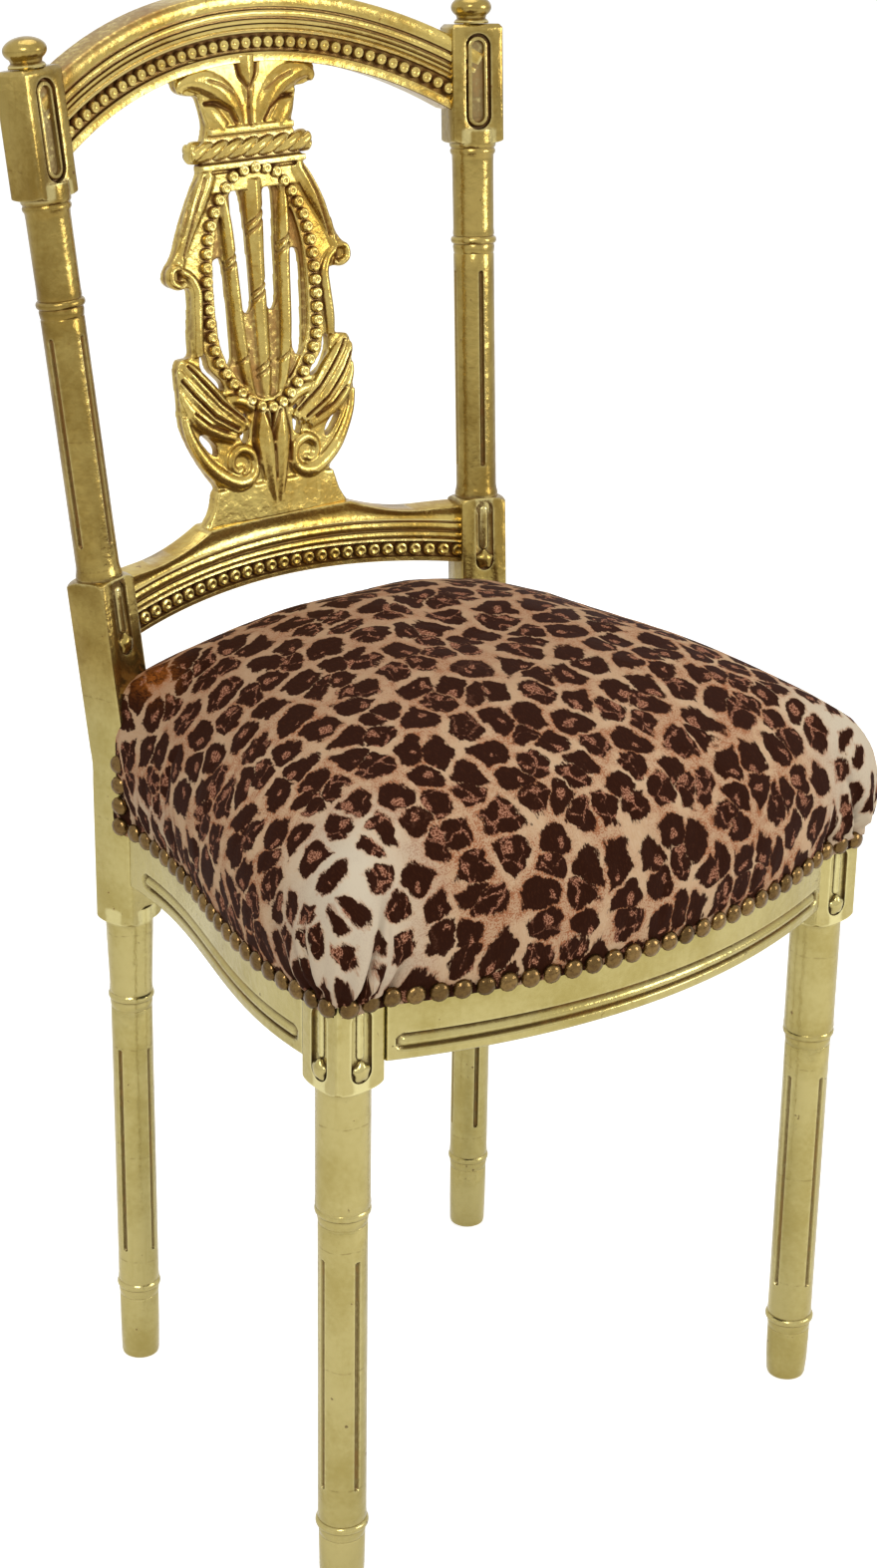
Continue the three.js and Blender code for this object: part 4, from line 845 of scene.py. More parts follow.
# %% Front and side rails
FRONT_HALF, FRONT_BOW = 176.5, 36
SIDE_START, SIDE_LENGTH, SIDE_DRAW = 17.5, 263.5, 52
RAIL_LOW, RAIL_HIGH, RAIL_THICK = 365.2, 415.8, 23.8
GROOVE_HEIGHT, GROOVE_HALF = 376.5, 5.5


def front_rail_y(x):
    return -18.5 - FRONT_BOW * (1 - (x / FRONT_HALF) ** 2)


def side_rail_x(y):
    share = min(max((y - SIDE_START) / SIDE_LENGTH, 0), 1)
    return 210.5 - SIDE_DRAW * (1 - math.cos(math.pi * share)) / 2


REED_STEPS = (0, 0.5, 1.1, 1.7, 2.4, 3.4, 4.4, 5.5)
REED_DEPTHS = (0, 1.9, 2.6, 2.2, 1.2, 0.1, -0.6, -0.9)


def grooved_rail(start, end, groove_start, groove_end, columns):
    """A straight rail, face at depth 0, with its reeded groove pressed in."""
    bm = bmesh.new()
    bmesh.ops.create_grid(bm, x_segments=columns, y_segments=68, size=0.5)
    bmesh.ops.rotate(bm, verts=bm.verts, matrix=Matrix.Rotation(math.pi / 2, 3, "X"))
    bmesh.ops.scale(bm, verts=bm.verts, vec=(end - start, 1, RAIL_HIGH - RAIL_LOW))
    bmesh.ops.translate(bm, verts=bm.verts, vec=((start + end) / 2, 0, (RAIL_LOW + RAIL_HIGH) / 2))
    bmesh.ops.solidify(bm, geom=bm.faces[:], thickness=RAIL_THICK)
    bmesh.ops.recalc_face_normals(bm, faces=bm.faces)
    back = max((vert.co.y for vert in bm.verts), key=abs)
    toned = toned_layer(bm)
    for vert in bm.verts:
        if abs(vert.co.y) > 1:
            vert.co.y *= math.copysign(1, back)
            continue
        x, height = vert.co.x, vert.co.z
        ahead = x - min(max(x, groove_start + GROOVE_HALF), groove_end - GROOVE_HALF)
        inside = GROOVE_HALF - math.hypot(ahead, height - GROOVE_HEIGHT)
        edge = min(height - RAIL_LOW, RAIL_HIGH - height)
        vert[toned] = 0.8 if 0.3 < inside < 1.9 else 0
        vert.co.y = np.interp(inside, REED_STEPS, REED_DEPTHS) + 0.8 * max(0, 1 - edge / 0.8) ** 2
    return bm


front = bent(grooved_rail(-176.2, 176.2, -171.5, 171.5, 230),
             lambda x, depth, height: (x, front_rail_y(x) + depth, height))
show(front, "reeded_front_rail", pale_gilt, "gilt", "front_rail", sharp=60)
for side, hand in ((-1, "left"), (1, "right")):
    rail = bent(grooved_rail(17.8, 284, 22.5, 261, 180),
                lambda y, depth, height: (side * (side_rail_x(y) - depth), y, height))
    show(rail, f"reeded_side_rail_{hand}", pale_gilt, "gilt", f"side_rail_{hand}", sharp=60)

# %% [markdown]
# ## Crest rail and lower back rail
# Both back rails are arched and also bowed, so that the hollow of the back faces the
# sitter. Their mouldings run unbroken from post to post: a flat fillet, a sunk channel for
# the beads, reeds and a plain band. A section is pulled out straight, divided, and carried
# onto the double curve. The beads are set into the channel one by one. At its left end the
# top of the crest is worn down to the brown ground.

# %% Moulded back rails
CREST_SECTION = [
    (0.5, 0), (0, 0.5), (0, 5.4), (0.4, 5.9), (3, 6.3), (3.4, 7.2), (3.4, 16.6), (3, 17.4), (0.4, 17.8),
    (0, 18.2), (0.9, 19.4), (0.9, 19.9), (-0.3, 20.6), (-0.9, 21.7), (-0.3, 22.9), (0.9, 23.3),
    (-0.1, 23.8), (-0.7, 24.9), (-0.1, 26), (1.5, 26.5), (1.5, 27.6), (-0.9, 28.2), (-1.4, 29.4),
    (-1.4, 30.6), (-0.9, 31.8), (1, 32.4), (1, 33.4), (-1, 34.1), (-1.5, 36.5), (-1.6, 39.5),
    (-1.2, 42), (-0.2, 43.5), (1.2, 44), (19.6, 43.8), (20.6, 43), (21, 41.6), (21, 1), (20.2, 0)]
CROSS_SECTION = [
    (0.5, 0), (0, 0.5), (0, 2.6), (0.4, 3), (2.8, 3.4), (3.3, 4.2), (3.3, 12.8), (2.9, 13.6), (0.4, 14),
    (0.9, 15.4), (-0.2, 16), (-0.9, 17.4), (-0.9, 18.8), (-0.2, 20.2), (1.1, 20.6), (1.1, 21.4),
    (-0.3, 22), (-1, 23.6), (-1, 25.2), (-0.3, 26.8), (1.3, 27.2), (1.3, 28), (0, 28.6), (0.9, 30),
    (1.3, 32), (1, 34.6), (0.2, 36.8), (0.2, 37.6), (0.8, 38), (19.4, 38), (20, 37.4), (20, 0.8),
    (19.2, 0)]
CREST_CURVE, CREST_INNER, CREST_CENTRE = 300, 294, 576
CROSS_UNDER, CROSS_TOP, CROSS_REEDED = 536, 564, 28


def crest_place(x, depth, rise):
    angle, reach = x / CREST_CURVE, CREST_INNER + rise
    across, height = reach * math.sin(angle), CREST_CENTRE + reach * math.cos(angle)
    return (across, back_face(across, height) + depth, height)


def cross_place(x, depth, rise):
    """The reeds keep their height. The plain band above them widens to carry the lyre."""
    under = CROSS_UNDER - 14 * (x / back_half(CROSS_UNDER)) ** 2
    flare = min(max((abs(x) - 57.7) / 57.3, 0), 1)
    top = CROSS_TOP + 13 * (1 - flare) ** 2
    band = max(rise - CROSS_REEDED, 0) / 10 * (top - under - CROSS_REEDED)
    height = under + min(rise, CROSS_REEDED) + band
    return (x, back_face(x, height) + depth, height)


def bead(radius, rise):
    """A turned pearl with a dimple, facing the front."""
    shares = [(0.25, 0.78), (0.55, 1), (0.82, 0.86), (1, 0.4), (1, -0.3)]
    return turned([(radius * r, rise * h) for r, h in shares], 12)


def set_beads(one, places):
    """The same bead at many places, each given as a matrix."""
    shape = bpy.data.meshes.new("bead")
    one.to_mesh(shape)
    one.free()
    string = bmesh.new()
    for matrix in places:
        string.from_mesh(shape)
        fresh = string.verts[len(string.verts) - len(shape.vertices):]
        bmesh.ops.transform(string, matrix=matrix, verts=fresh)
    bpy.data.meshes.remove(shape)
    return string


def facing(spot, out):
    """A frame at a spot whose upright axis points out of the face."""
    return Matrix.Translation(spot) @ Vector(out).to_track_quat("Z", "Y").to_matrix().to_4x4()


def rail_frames(place, spots, rise):
    frames = []
    for x in spots:
        here = Vector(place(x, 1.6, rise))
        along = Vector(place(x + 1, 1.6, rise)) - here
        up = Vector(place(x, 1.6, rise + 1)) - here
        frames.append(facing(here, along.cross(up)))
    return frames


crest_beads = set_beads(bead(4, 2.9), rail_frames(crest_place, np.arange(-18, 19) * 8.45, 12))
cross_beads = set_beads(bead(4.6, 2.8), rail_frames(cross_place, np.arange(-13, 14) * 10.3, 8.5))
crest = bent(bar(CREST_SECTION, -162, 162, 110), crest_place)
worn = toned_layer(crest)
for vert in crest.verts:
    rise = math.hypot(vert.co.x, vert.co.z - CREST_CENTRE) - CREST_INNER
    vert[worn] = 0.8 * np.clip((rise - 38) / 4, 0, 1) * np.clip((-20 - vert.co.x) / 60, 0, 1)
cross = bent(bar(CROSS_SECTION, -150, 150, 110), cross_place)
show(taken(crest, crest_beads), "beaded_crest_rail", rich_gilt, "rich_gilt", "crest_rail")
show(taken(cross, cross_beads), "beaded_lower_rail", rich_gilt, "rich_gilt", "lower_back_rail")

# %% [markdown]
# ## The carved lyre
# The lyre is one plank, pierced and carved from the front. A carver thinks of it as strokes:
# a border that swells and dies out, strings, lobes of leaves, rolled volutes. So each
# stroke is a soft ridge laid on a pierced plank, and all of them are fused into one skin of
# small even faces, which is then smoothed a little, as gesso softens carving. V cuts and
# veins are pressed into the skin, and last it is thinned where it is flat.

# %% Plank and strokes
LYRE_FOOT = 577
PLANK_FACE = 8.2
SKIN_GRAIN = 0.8
lyre_up = Vector((0, RAKE, 1)).normalized()
lyre_out = Vector((1, 0, 0)).cross(lyre_up)
lyre_frame = Matrix((Vector((1, 0, 0)), lyre_up, lyre_out)).transposed().to_4x4()
lyre_frame.translation = (0, back_face(0, LYRE_FOOT) + 11, LYRE_FOOT)

HALF_OUTLINE = [
    (57.7, -2), (57.7, 0), (51.1, 9), (47.8, 20), (45.5, 23.5), (51, 31.6), (57.7, 42.2), (63.5, 53.1),
    (68.4, 65.5), (69.6, 74), (69.4, 88), (70.1, 102), (67.2, 111), (58.2, 112.5), (57.6, 122),
    (55.6, 138.6), (54.4, 150.4), (56.5, 156.5), (66, 156.9), (72.4, 161.6), (71.6, 168.7),
    (64.5, 177.5), (60, 188.7), (54.8, 200.5), (46.3, 216.7), (40, 228), (38.5, 240), (34, 252),
    (33, 262), (35, 270),
    (38, 275.5), (45, 276.3), (52, 279.4), (54.6, 285.5), (52.6, 291.5), (46, 296), (40, 300)]
PIERCED = [
    [(5.8, 138.6), (13.9, 138.6), (15.7, 176.9), (17.5, 208), (13.1, 214.8), (8.4, 208.9),
     (5.8, 176.9)],
    [(24.8, 106.2), (31.5, 104.7), (34.6, 135.7), (35, 166), (30.7, 172), (26.3, 167.6), (24.5, 135.7)],
    [(35, 87), (45.3, 91.4), (51.8, 103.2), (51.5, 112.5), (47.4, 112), (44.6, 101.7), (36.5, 92.9)],
    [(18.3, 53.1), (23.6, 50.9), (25.8, 62), (22.3, 69.8), (18.3, 66.4)],
    [(44, 45), (50.5, 48.7), (57.4, 58.5), (53.4, 60.3), (45, 52.2)]]
BEAD_LINE = [(0, 227.5), (15, 224.5), (25, 214.4), (32, 204.3), (37, 193.3), (40, 182.2), (42.4, 169.1),
             (43.2, 143.9), (42.6, 123.8), (39.4, 108.7), (32, 95.6), (22, 83.5), (9, 73.5), (0, 71.5)]


def pulled_out(points, low, high):
    """A flat outline of the plank's plane given a thickness."""
    bm = bmesh.new()
    bm.faces.new([bm.verts.new((x, up, low)) for x, up in points])
    pulled_along(bm, (0, 0, high - low))
    bmesh.ops.recalc_face_normals(bm, faces=bm.faces)
    return bm


def stroke(points, rise, base=PLANK_FACE, steps=6):
    """A ridge along points of across, up and half width. It rises as it widens."""
    line = through(points, steps)
    curve = bpy.data.curves.new("stroke", "CURVE")
    curve.dimensions, curve.bevel_depth, curve.bevel_resolution = "3D", 1, 4
    curve.use_fill_caps = True
    spline = curve.splines.new("POLY")
    spline.points.add(len(line) - 1)
    for knot, (x, up, half) in zip(spline.points, line):
        knot.co, knot.radius = (x, up, 0, 1), max(half, 0.3)
    holder = bpy.data.objects.new("stroke", curve)
    bpy.context.scene.collection.objects.link(holder)
    bm = bmesh.new()
    bm.from_mesh(holder.to_mesh())
    holder.to_mesh_clear()
    bpy.data.objects.remove(holder)
    bpy.data.curves.remove(curve)
    widest = max(half for _, _, half in points)
    bmesh.ops.scale(bm, verts=bm.verts, vec=(1, 1, rise / widest))
    bmesh.ops.translate(bm, verts=bm.verts, vec=(0, 0, base))
    return bm


def both(points, rise, base=PLANK_FACE):
    other = [(-x, up, half) for x, up, half in points]
    return [stroke(points, rise, base), stroke(other, rise, base)]


MIDDLE_STRING = [(0, 220, 7.6), (0, 200, 7.4), (0, 165, 6), (0, 124, 5.4), (0, 92, 4.6), (0, 76, 3)]
SIDE_STRING = [(24, 212, 3.4), (22.6, 192, 4.8), (20.6, 160, 4.8), (18.4, 120, 4.8), (14.6, 92, 4),
               (10.5, 78, 2.6)]
CUTS = [
    ([(0, 255), (0, 277)], 1.1, 3), ([(0, 277), (6, 286), (8.5, 298)], 1.2, 3),
    ([(11, 257), (16, 265), (25, 270.4), (34, 270.6)], 1.3, 3.6),
    ([(13, 276), (22, 282), (32, 285)], 0.9, 1.4),
    ([(22, 66), (40, 80), (54, 96), (63, 107)], 0.95, 3.4),
    ([(28, 61), (46, 72), (60, 87), (68, 98)], 0.95, 3.4),
    ([(36, 60), (50, 66.5), (61, 76)], 0.9, 2.8), ([(38, 88), (48, 100)], 0.8, 2.2),
    ([(39, 224), (48, 206), (54.5, 189), (58.5, 177)], 1.1, 2.6),
    ([(43, 226), (52, 208), (59, 190)], 0.8, 1.6),
    ([(56, 153), (56.4, 140), (57.5, 124)], 0.9, 1.6), ([(62.6, 160), (63, 168)], 1.1, 2),
    ([(0, 70), (0, 50)], 1.3, 3.2), ([(0, 52), (5.6, 68)], 1.1, 2.8), ([(0, 46), (0, 24)], 0.8, 1.4),
    ([(10.5, 70), (14.5, 52), (13, 34)], 1, 2.6)]
NICKS = [(0, 196, 7), (0, 190, 7), (0, 150, 5.4), (0, 145.5, 5.4), (0, 100, 5), (0, 95.5, 5),
         (21.6, 180, 5), (21.6, 174.5, 5), (-21.6, 172, 5), (-21.6, 167, 5),
         (16.4, 104, 4.4), (-16.4, 106, 4.4)]
SIDE_STROKES = [
    ([(34, 227, 5), (42, 214, 6.4), (49.5, 201, 6), (55.4, 189, 4.4), (59.5, 178, 3),
      (62.5, 168, 2.4)], 4.8),
    ([(53, 112, 3.2), (53, 126, 4), (51.6, 142, 4), (51, 154, 3.8), (55, 163, 3),
      (61, 167.5, 2.4)], 4.4),
    ([(59, 159.6, 2.2), (65, 158.6, 2.6), (70, 162, 2.8), (69.6, 168.5, 2.6), (64.5, 170.5, 2.2),
      (61.2, 166.4, 1.6)], 4.6),
    ([(19, 61, 4), (34, 73, 5.4), (49, 90, 6.4), (60, 103, 5), (66, 110, 1.6)], 5.6),
    ([(24, 59, 4), (42, 70, 6), (56, 84, 6.2), (66, 98, 4), (69.5, 105, 1.4)], 5.4),
    ([(30, 55, 3.6), (46, 62, 5.2), (59, 72, 5.4), (67, 84, 3.4), (69.5, 92, 1.2)], 5),
    ([(14, 72, 3.4), (22, 78, 4.4), (32, 80.5, 3.6), (39, 82, 1.2)], 4.4),
    ([(68, 74, 2.6), (65, 61, 3.4), (59, 49, 4.2), (51, 38, 5), (40, 29, 5.4), (29, 24.6, 5.2),
      (19.5, 27, 4.4), (15.6, 35, 3.8), (18.6, 43.4, 3.6), (26.6, 47, 3.6), (33.8, 43, 3.4),
      (34.4, 36, 3), (29.4, 32, 2.6), (25.4, 34.6, 2.2)], 5),
    ([(5.4, 72, 5.4), (6.4, 60, 6.4), (6, 46, 6.8), (4.4, 30, 5.8), (2.6, 14, 3.8),
      (0.6, 2, 1.6)], 5.8),
    ([(8, 254, 4.5), (13, 266, 7.4), (22, 277.5, 8.6), (34, 284, 8), (45, 285.5, 6), (51.5, 282, 3.4),
      (50, 278.4, 2)], 6),
    ([(22, 254, 7), (28, 262, 7), (33, 270, 4.4), (37, 275, 2)], 4.4),
]


def pierced_knives():
    forms = []
    for mirror in (-1, 1):
        for hole in PIERCED:
            forms.append(pulled_out([(mirror * x, up) for x, up in through(hole, 4, True)], -3, 20))
    return taken(*forms)


def sunk_ground():
    """The knife that sinks the ground behind the strings, a little inside the line of beads."""
    right = [(x * 0.86, 150 + (up - 150) * 0.93) for x, up in through(BEAD_LINE, 3)]
    return pulled_out(right + mirrored(right[1:-1]), 4.8, 14)


def away_from(spots, points):
    """How far each spot of the plank is from a line of points."""
    nearest = np.full(len(spots), 1e3)
    for start, end in zip(points, points[1:]):
        start, way = np.array(start), np.array(end) - start
        share = np.clip((spots[:, :2] - start) @ way / (way @ way), 0, 1)
        aside = spots[:, :2] - start - share[:, None] * way
        nearest = np.minimum(nearest, np.linalg.norm(aside, axis=1))
    return nearest


def cut_in(bm):
    """The carver's V cuts, veins and nicks, and the toning that stays in them."""
    spots = np.array([vert.co for vert in bm.verts])
    lines = [([(side * x, up) for x, up in points], width, depth)
             for points, width, depth in CUTS for side in (-1, 1)]
    for x, up, half in NICKS:
        lines.append(([(x - half, up - half * 0.8), (x + half, up + half * 0.8)], 0.95, 1.9))
    sunk = np.zeros(len(spots))
    shade = np.clip((7.2 - spots[:, 2]) / 1.6, 0, 1) * (spots[:, 2] > 3.5)
    for points, width, depth in lines:
        share = np.exp(-(away_from(spots, points) / width) ** 2) * (spots[:, 2] > 4.5)
        sunk = np.maximum(sunk, depth * share)
        shade = np.maximum(shade, share)
    toned = toned_layer(bm)
    for vert, down, stain in zip(bm.verts, sunk, shade):
        vert.co.z -= down
        vert[toned] = stain
    return bm


def carved_lyre():
    right = through(HALF_OUTLINE, 3)
    outline = [tuple(p) for p in right] + mirrored(right)
    forms = [trimmed(trimmed(pulled_out(outline, 0, PLANK_FACE), pierced_knives()), sunk_ground())]
    for half, top in (([(57, -2), (51, 9), (47, 22)], 10.4), ([(32, 252), (37, 276), (44, 298)], 10.2)):
        forms.append(pulled_out([(-half[0][0], half[0][1]), *half, *mirrored(half[1:])], 1, top))
    for half, low, high, top in ((33, 250.4, 254.4, 12.2), (41, 228.6, 232.6, 12), (36, 214, 226, 9.6)):
        forms.append(pulled_out([(-half, low), (half, low), (half, high), (-half, high)], 1, top))
    forms.append(stroke([(0, 258, 2), (0, 272, 4.4), (0, 286, 6.4), (0, 299, 7)], 5))
    forms.append(stroke(MIDDLE_STRING, 7.4, 4))
    forms.extend(both(SIDE_STRING, 7, 4))
    for points, rise in SIDE_STROKES:
        forms.extend(both(points, rise))
    return taken(*forms)


def fused(bm, grain_size, rounds):
    """One even skin over overlapping forms, smoothed a little."""
    skin = modified(bm, "REMESH", mode="VOXEL", voxel_size=grain_size, adaptivity=0)
    for _ in range(rounds):
        bmesh.ops.smooth_vert(skin, verts=skin.verts, factor=0.5, use_axis_x=True, use_axis_y=True,
                              use_axis_z=True)
    return skin


def lyre_beads():
    right = [Vector((x, up, 0)) for x, up in through(BEAD_LINE, 12)]
    reach = np.cumsum([0] + [(b - a).length for a, b in zip(right, right[1:])])
    count = round(reach[-1] / 9)
    frames = []
    for at in np.arange(count + 1) * reach[-1] / count:
        x, up = (np.interp(at, reach, [point[axis] for point in right]) for axis in (0, 1))
        proud = 9 + 1.5 * max(0, 1 - x / 24)
        sides = (1,) if x < 0.1 else (-1, 1)
        frames += [Matrix.Translation((side * x, up, proud)) for side in sides]
    return set_beads(bead(4.1, 3.4), frames)


def rope():
    """A bound cord of four twisted strands, laid across the neck of the lyre."""
    stem = [(7.4, x) for x in np.linspace(-46, 46, 120)]
    profile = [(5.4, -48), (6.6, -47), *stem, (6.6, 47), (5.4, 48)]
    bm = turned(profile, SMALL_SIDES)
    for vert in bm.verts:
        x, y, along = vert.co
        twist = 2 * math.atan2(y, x) - math.pi * 6 * along / 72
        share = 0.7 + 0.3 * abs(math.sin(twist)) ** 0.6
        vert.co = (along, -x * share, y * share)
    bmesh.ops.recalc_face_normals(bm, faces=bm.faces)
    bmesh.ops.translate(bm, verts=bm.verts, vec=(0, 240.6, 5))
    return bm


lyre = cut_in(fused(carved_lyre(), SKIN_GRAIN, 2))
lyre = modified(lyre, "DECIMATE", decimate_type="COLLAPSE", ratio=0.56)
lyre = taken(lyre, lyre_beads(), rope())
print("lyre", sum(len(face.verts) - 2 for face in lyre.faces), "triangles")
lyre.transform(lyre_frame)
show(lyre, "carved_lyre", rich_gilt, "rich_gilt", "lyre_splat", sharp=80)

# %% [markdown]
# ## The plan of the seat
# The cloth follows the faces of the rails, turns the corner of each front leg, and at the
# back wraps round the outer face of the post. The plan is one closed line. Each point keeps
# its way out of the seat, and how far it is from the back posts, which draw the cloth in.

# %% Seat plan
PLAN_POINTS = 480
COLUMNS = 520
SEAT_BACK = 308


def plan_half():
    points = [(x, front_rail_y(x)) for x in np.linspace(0, FRONT_HALF, 24)]
    turn = np.linspace(0, math.pi / 2, 5)
    points += [(208.5 + 3 * math.sin(a), -14.5 - 3 * math.cos(a)) for a in turn]
    points += [(side_rail_x(y), y) for y in np.linspace(SIDE_START, 266, 30)]
    return points + [(159.06, 276.64), (163.4, 289.95), (139.75, SEAT_BACK), (74, SEAT_BACK)]


def reach_along(line):
    """How far each point of a line is from its start."""
    return np.concatenate(([0], np.cumsum(np.linalg.norm(np.diff(line, axis=0), axis=1))))


def even_loop(points, count):
    """Points at even distances along a closed line."""
    loop = np.array([*points, points[0]])
    reach = reach_along(loop)
    at = np.arange(count) * reach[-1] / count
    return np.stack([np.interp(at, reach, loop[:, axis]) for axis in (0, 1)], 1)


def softened(loop, rounds):
    """A closed line with its corners rounded by averaging neighbours."""
    for _ in range(rounds):
        loop = loop / 2 + (np.roll(loop, 1, 0) + np.roll(loop, -1, 0)) / 4
    return loop


def ways_out(loop):
    along = np.roll(loop, -1, 0) - np.roll(loop, 1, 0)
    out = np.stack([along[:, 1], -along[:, 0]], 1)
    return out / np.linalg.norm(out, axis=1)[:, None]


half_plan = plan_half()
seat_plan = even_loop([*half_plan, (0, SEAT_BACK), *mirrored(half_plan[1:])], PLAN_POINTS)
plan_step = np.linalg.norm(np.roll(seat_plan, -1, 0) - seat_plan, axis=1).mean()
print("round the seat:", round(plan_step * PLAN_POINTS), "mm")

# %% [markdown]
# ## The stuffed seat
# The seat rises nearly upright from the rails, turns over a soft shoulder and domes to its
# crown. It is made as rings of points, from the hem to the crown, each ring the plan with
# rounder corners the higher it lies. The columns stand closer at the front corners, where
# the upholsterer folds the cloth into pleats. Each nail pulls the hem in a little, and the
# back posts draw the cloth down. Each point also learns its place in the flat cloth.

# %% Seat form
# Each row: share of the rise, share of the bulge, share of the way to the middle.
SEAT_RINGS = np.array([
    (0, 0, 0), (0.1, 0.7, 0), (0.25, 1, 0), (0.42, 0.75, 0), (0.53, 0.2, 0.005), (0.6, 0, 0.04),
    (0.7, 0, 0.14), (0.82, 0, 0.32), (0.94, 0, 0.6), (1, 0, 1)])
SEAT_MIDDLE = np.array((0, 126.75))
# Each pleat: its foot from the corner, its lean, its width and its depth.
PLEATS = ((-1, -11, 2.4, 4.2), (-7, -52, 3, 5.5), (3, 7, 2.2, 3.2), (8, 34, 3, 3.6),
          (-15, -70, 3.4, 2.6), (17, 50, 3.2, 2.4), (-34, -40, 4.5, 1.6), (36, 34, 4.5, 1.6))
NAIL_PITCH = 14.6
RAIL_TOP = 416
HEM = 408
CROWN_RISE = 144


def corner_distance(index):
    """Distance along the plan from the nearest front corner: more than 0 on the side faces."""
    distance = np.full(len(index), 1e3)
    for side in (-1, 1):
        corner = np.argmin(np.hypot(seat_plan[:, 0] - side * 211, seat_plan[:, 1] + 17))
        apart = ((index - corner + PLAN_POINTS / 2) % PLAN_POINTS - PLAN_POINTS / 2) * plan_step
        distance = np.where(np.abs(apart) < np.abs(distance), side * apart, distance)
    return distance


def column_places():
    """Places along the plan, as fractions of its points, closer at the front corners."""
    index = np.arange(PLAN_POINTS)
    crowding = 1 + 2.4 * np.exp(-(corner_distance(index) / 34) ** 2)
    reach = np.concatenate(([0], np.cumsum(crowding)))
    return np.interp(np.arange(COLUMNS) * reach[-1] / COLUMNS, reach, np.arange(PLAN_POINTS + 1))


columns = column_places()


def at_columns(loop):
    closed = np.vstack([loop, loop[:1]])
    return np.stack([np.interp(columns, np.arange(PLAN_POINTS + 1), side) for side in closed.T], 1)


def ring_shares(count):
    """Share of the rise, of the bulge and of the way to the middle, evenly along the form."""
    fine = np.array(through(SEAT_RINGS, 24))
    lengths = np.hypot(np.diff(fine[:, 0]) * CROWN_RISE, np.diff(fine[:, 2]) * 200)
    reach = np.concatenate(([0], np.cumsum(lengths)))
    at = np.linspace(0, reach[-1], count)
    shares = np.stack([np.interp(at, reach, fine[:, axis]) for axis in range(3)], 1)
    shares[:, 2] = np.clip(shares[:, 2], 0, 1)
    return shares


def pleated(corner, rise):
    """Pleats fan out from the corner: each is a valley with a roll of cloth beside it."""
    fade = np.clip(rise / 0.03, 0, 1) * np.clip((0.5 - rise) / 0.38, 0, 1) ** 1.3
    push = 2.4 * np.exp(-((corner + 6) / 22) ** 2)
    for foot, lean, width, depth in PLEATS:
        wide = width * (1 + 2.4 * rise)
        apart = corner - foot - lean * rise
        push = push + depth * (0.7 * np.exp(-((apart + 1.9 * wide) / wide / 1.6) ** 2)
                               - np.exp(-(apart / wide) ** 2))
    return push * fade * 1.4


def tucked(corner, rise):
    """How far the pleats draw the print along the hem, because part of it lies inside them."""
    fade = np.clip((0.42 - rise) / 0.4, 0, 1)
    drawn = 0
    for foot, lean, width, depth in PLEATS:
        drawn = drawn + depth * 1.3 * np.tanh((corner - foot - lean * rise) / width)
    return drawn * fade * np.exp(-(corner / 70) ** 2)


def seat_rings(inset, hem, count):
    """Rings of points from the hem to the crown."""
    plan = at_columns(seat_plan)
    away = np.hypot(np.abs(plan[:, 0]) - POST_X, plan[:, 1] - POST_Y) - 22.3
    free = np.clip(away / 60, 0, 1)
    fullness = 5 * np.exp(-(corner_distance(columns) / 45) ** 2)
    nail = np.cos(2 * math.pi * columns * plan_step / NAIL_PITCH) - 1
    rings = []
    for rise, bulge, inward in ring_shares(count):
        rounds = int(6 + 20 * min(rise, 0.6) + 700 * max(rise - 0.6, 0))
        loop = at_columns(softened(seat_plan, rounds))
        out = at_columns(ways_out(softened(seat_plan, rounds + 6)))
        pull = 0.6 * (1 - min(rise / 0.2, 1)) ** 2 * nail * free * min(rise / 0.02, 1)
        push = 2.3 - inset * min(0.25 + 4 * rise, 1) + (6 + fullness) * bulge * free
        push = push + (pull if inset < 4 else 0)
        loop = loop + out * push[:, None]
        dip = 10 * (1 - free) * (1 - inward)
        loop = loop + (SEAT_MIDDLE - loop) * inward
        ahead = (loop[:, 1] - SEAT_MIDDLE[1]) / (SEAT_BACK - SEAT_MIDDLE[1])
        lift = 142 - 2 * inset + 17 * ahead - dip
        rings.append(np.column_stack([loop, RAIL_TOP + rise * lift]))
    heights = np.linspace(hem, RAIL_TOP, 5)[:-1]
    below = [np.column_stack([rings[0][:, :2], np.full(COLUMNS, height)]) for height in heights]
    return np.array(below + rings)


def cloth_map(rings):
    """Each point's place in the flat cloth: its plan place, pushed out by what lies on a slope."""
    inwards = rings[::-1]
    steps = np.diff(inwards, axis=0)
    start = np.zeros((1, COLUMNS))
    real = np.concatenate((start, np.cumsum(np.linalg.norm(steps, axis=2), axis=0)))
    flat = np.concatenate((start, np.cumsum(np.linalg.norm(steps[:, :, :2], axis=2), axis=0)))
    out = at_columns(ways_out(softened(seat_plan, 900)))
    spread = inwards[:, :, :2] + out[None] * (real - flat)[:, :, None]
    rise = (inwards[:, :, 2] - HEM) / CROWN_RISE
    side = np.sign(inwards[-1, :, 0]) * tucked(corner_distance(columns), rise)
    along = np.stack([-out[:, 1], out[:, 0]], 1)
    return (spread + along[None] * side[:, :, None])[::-1]


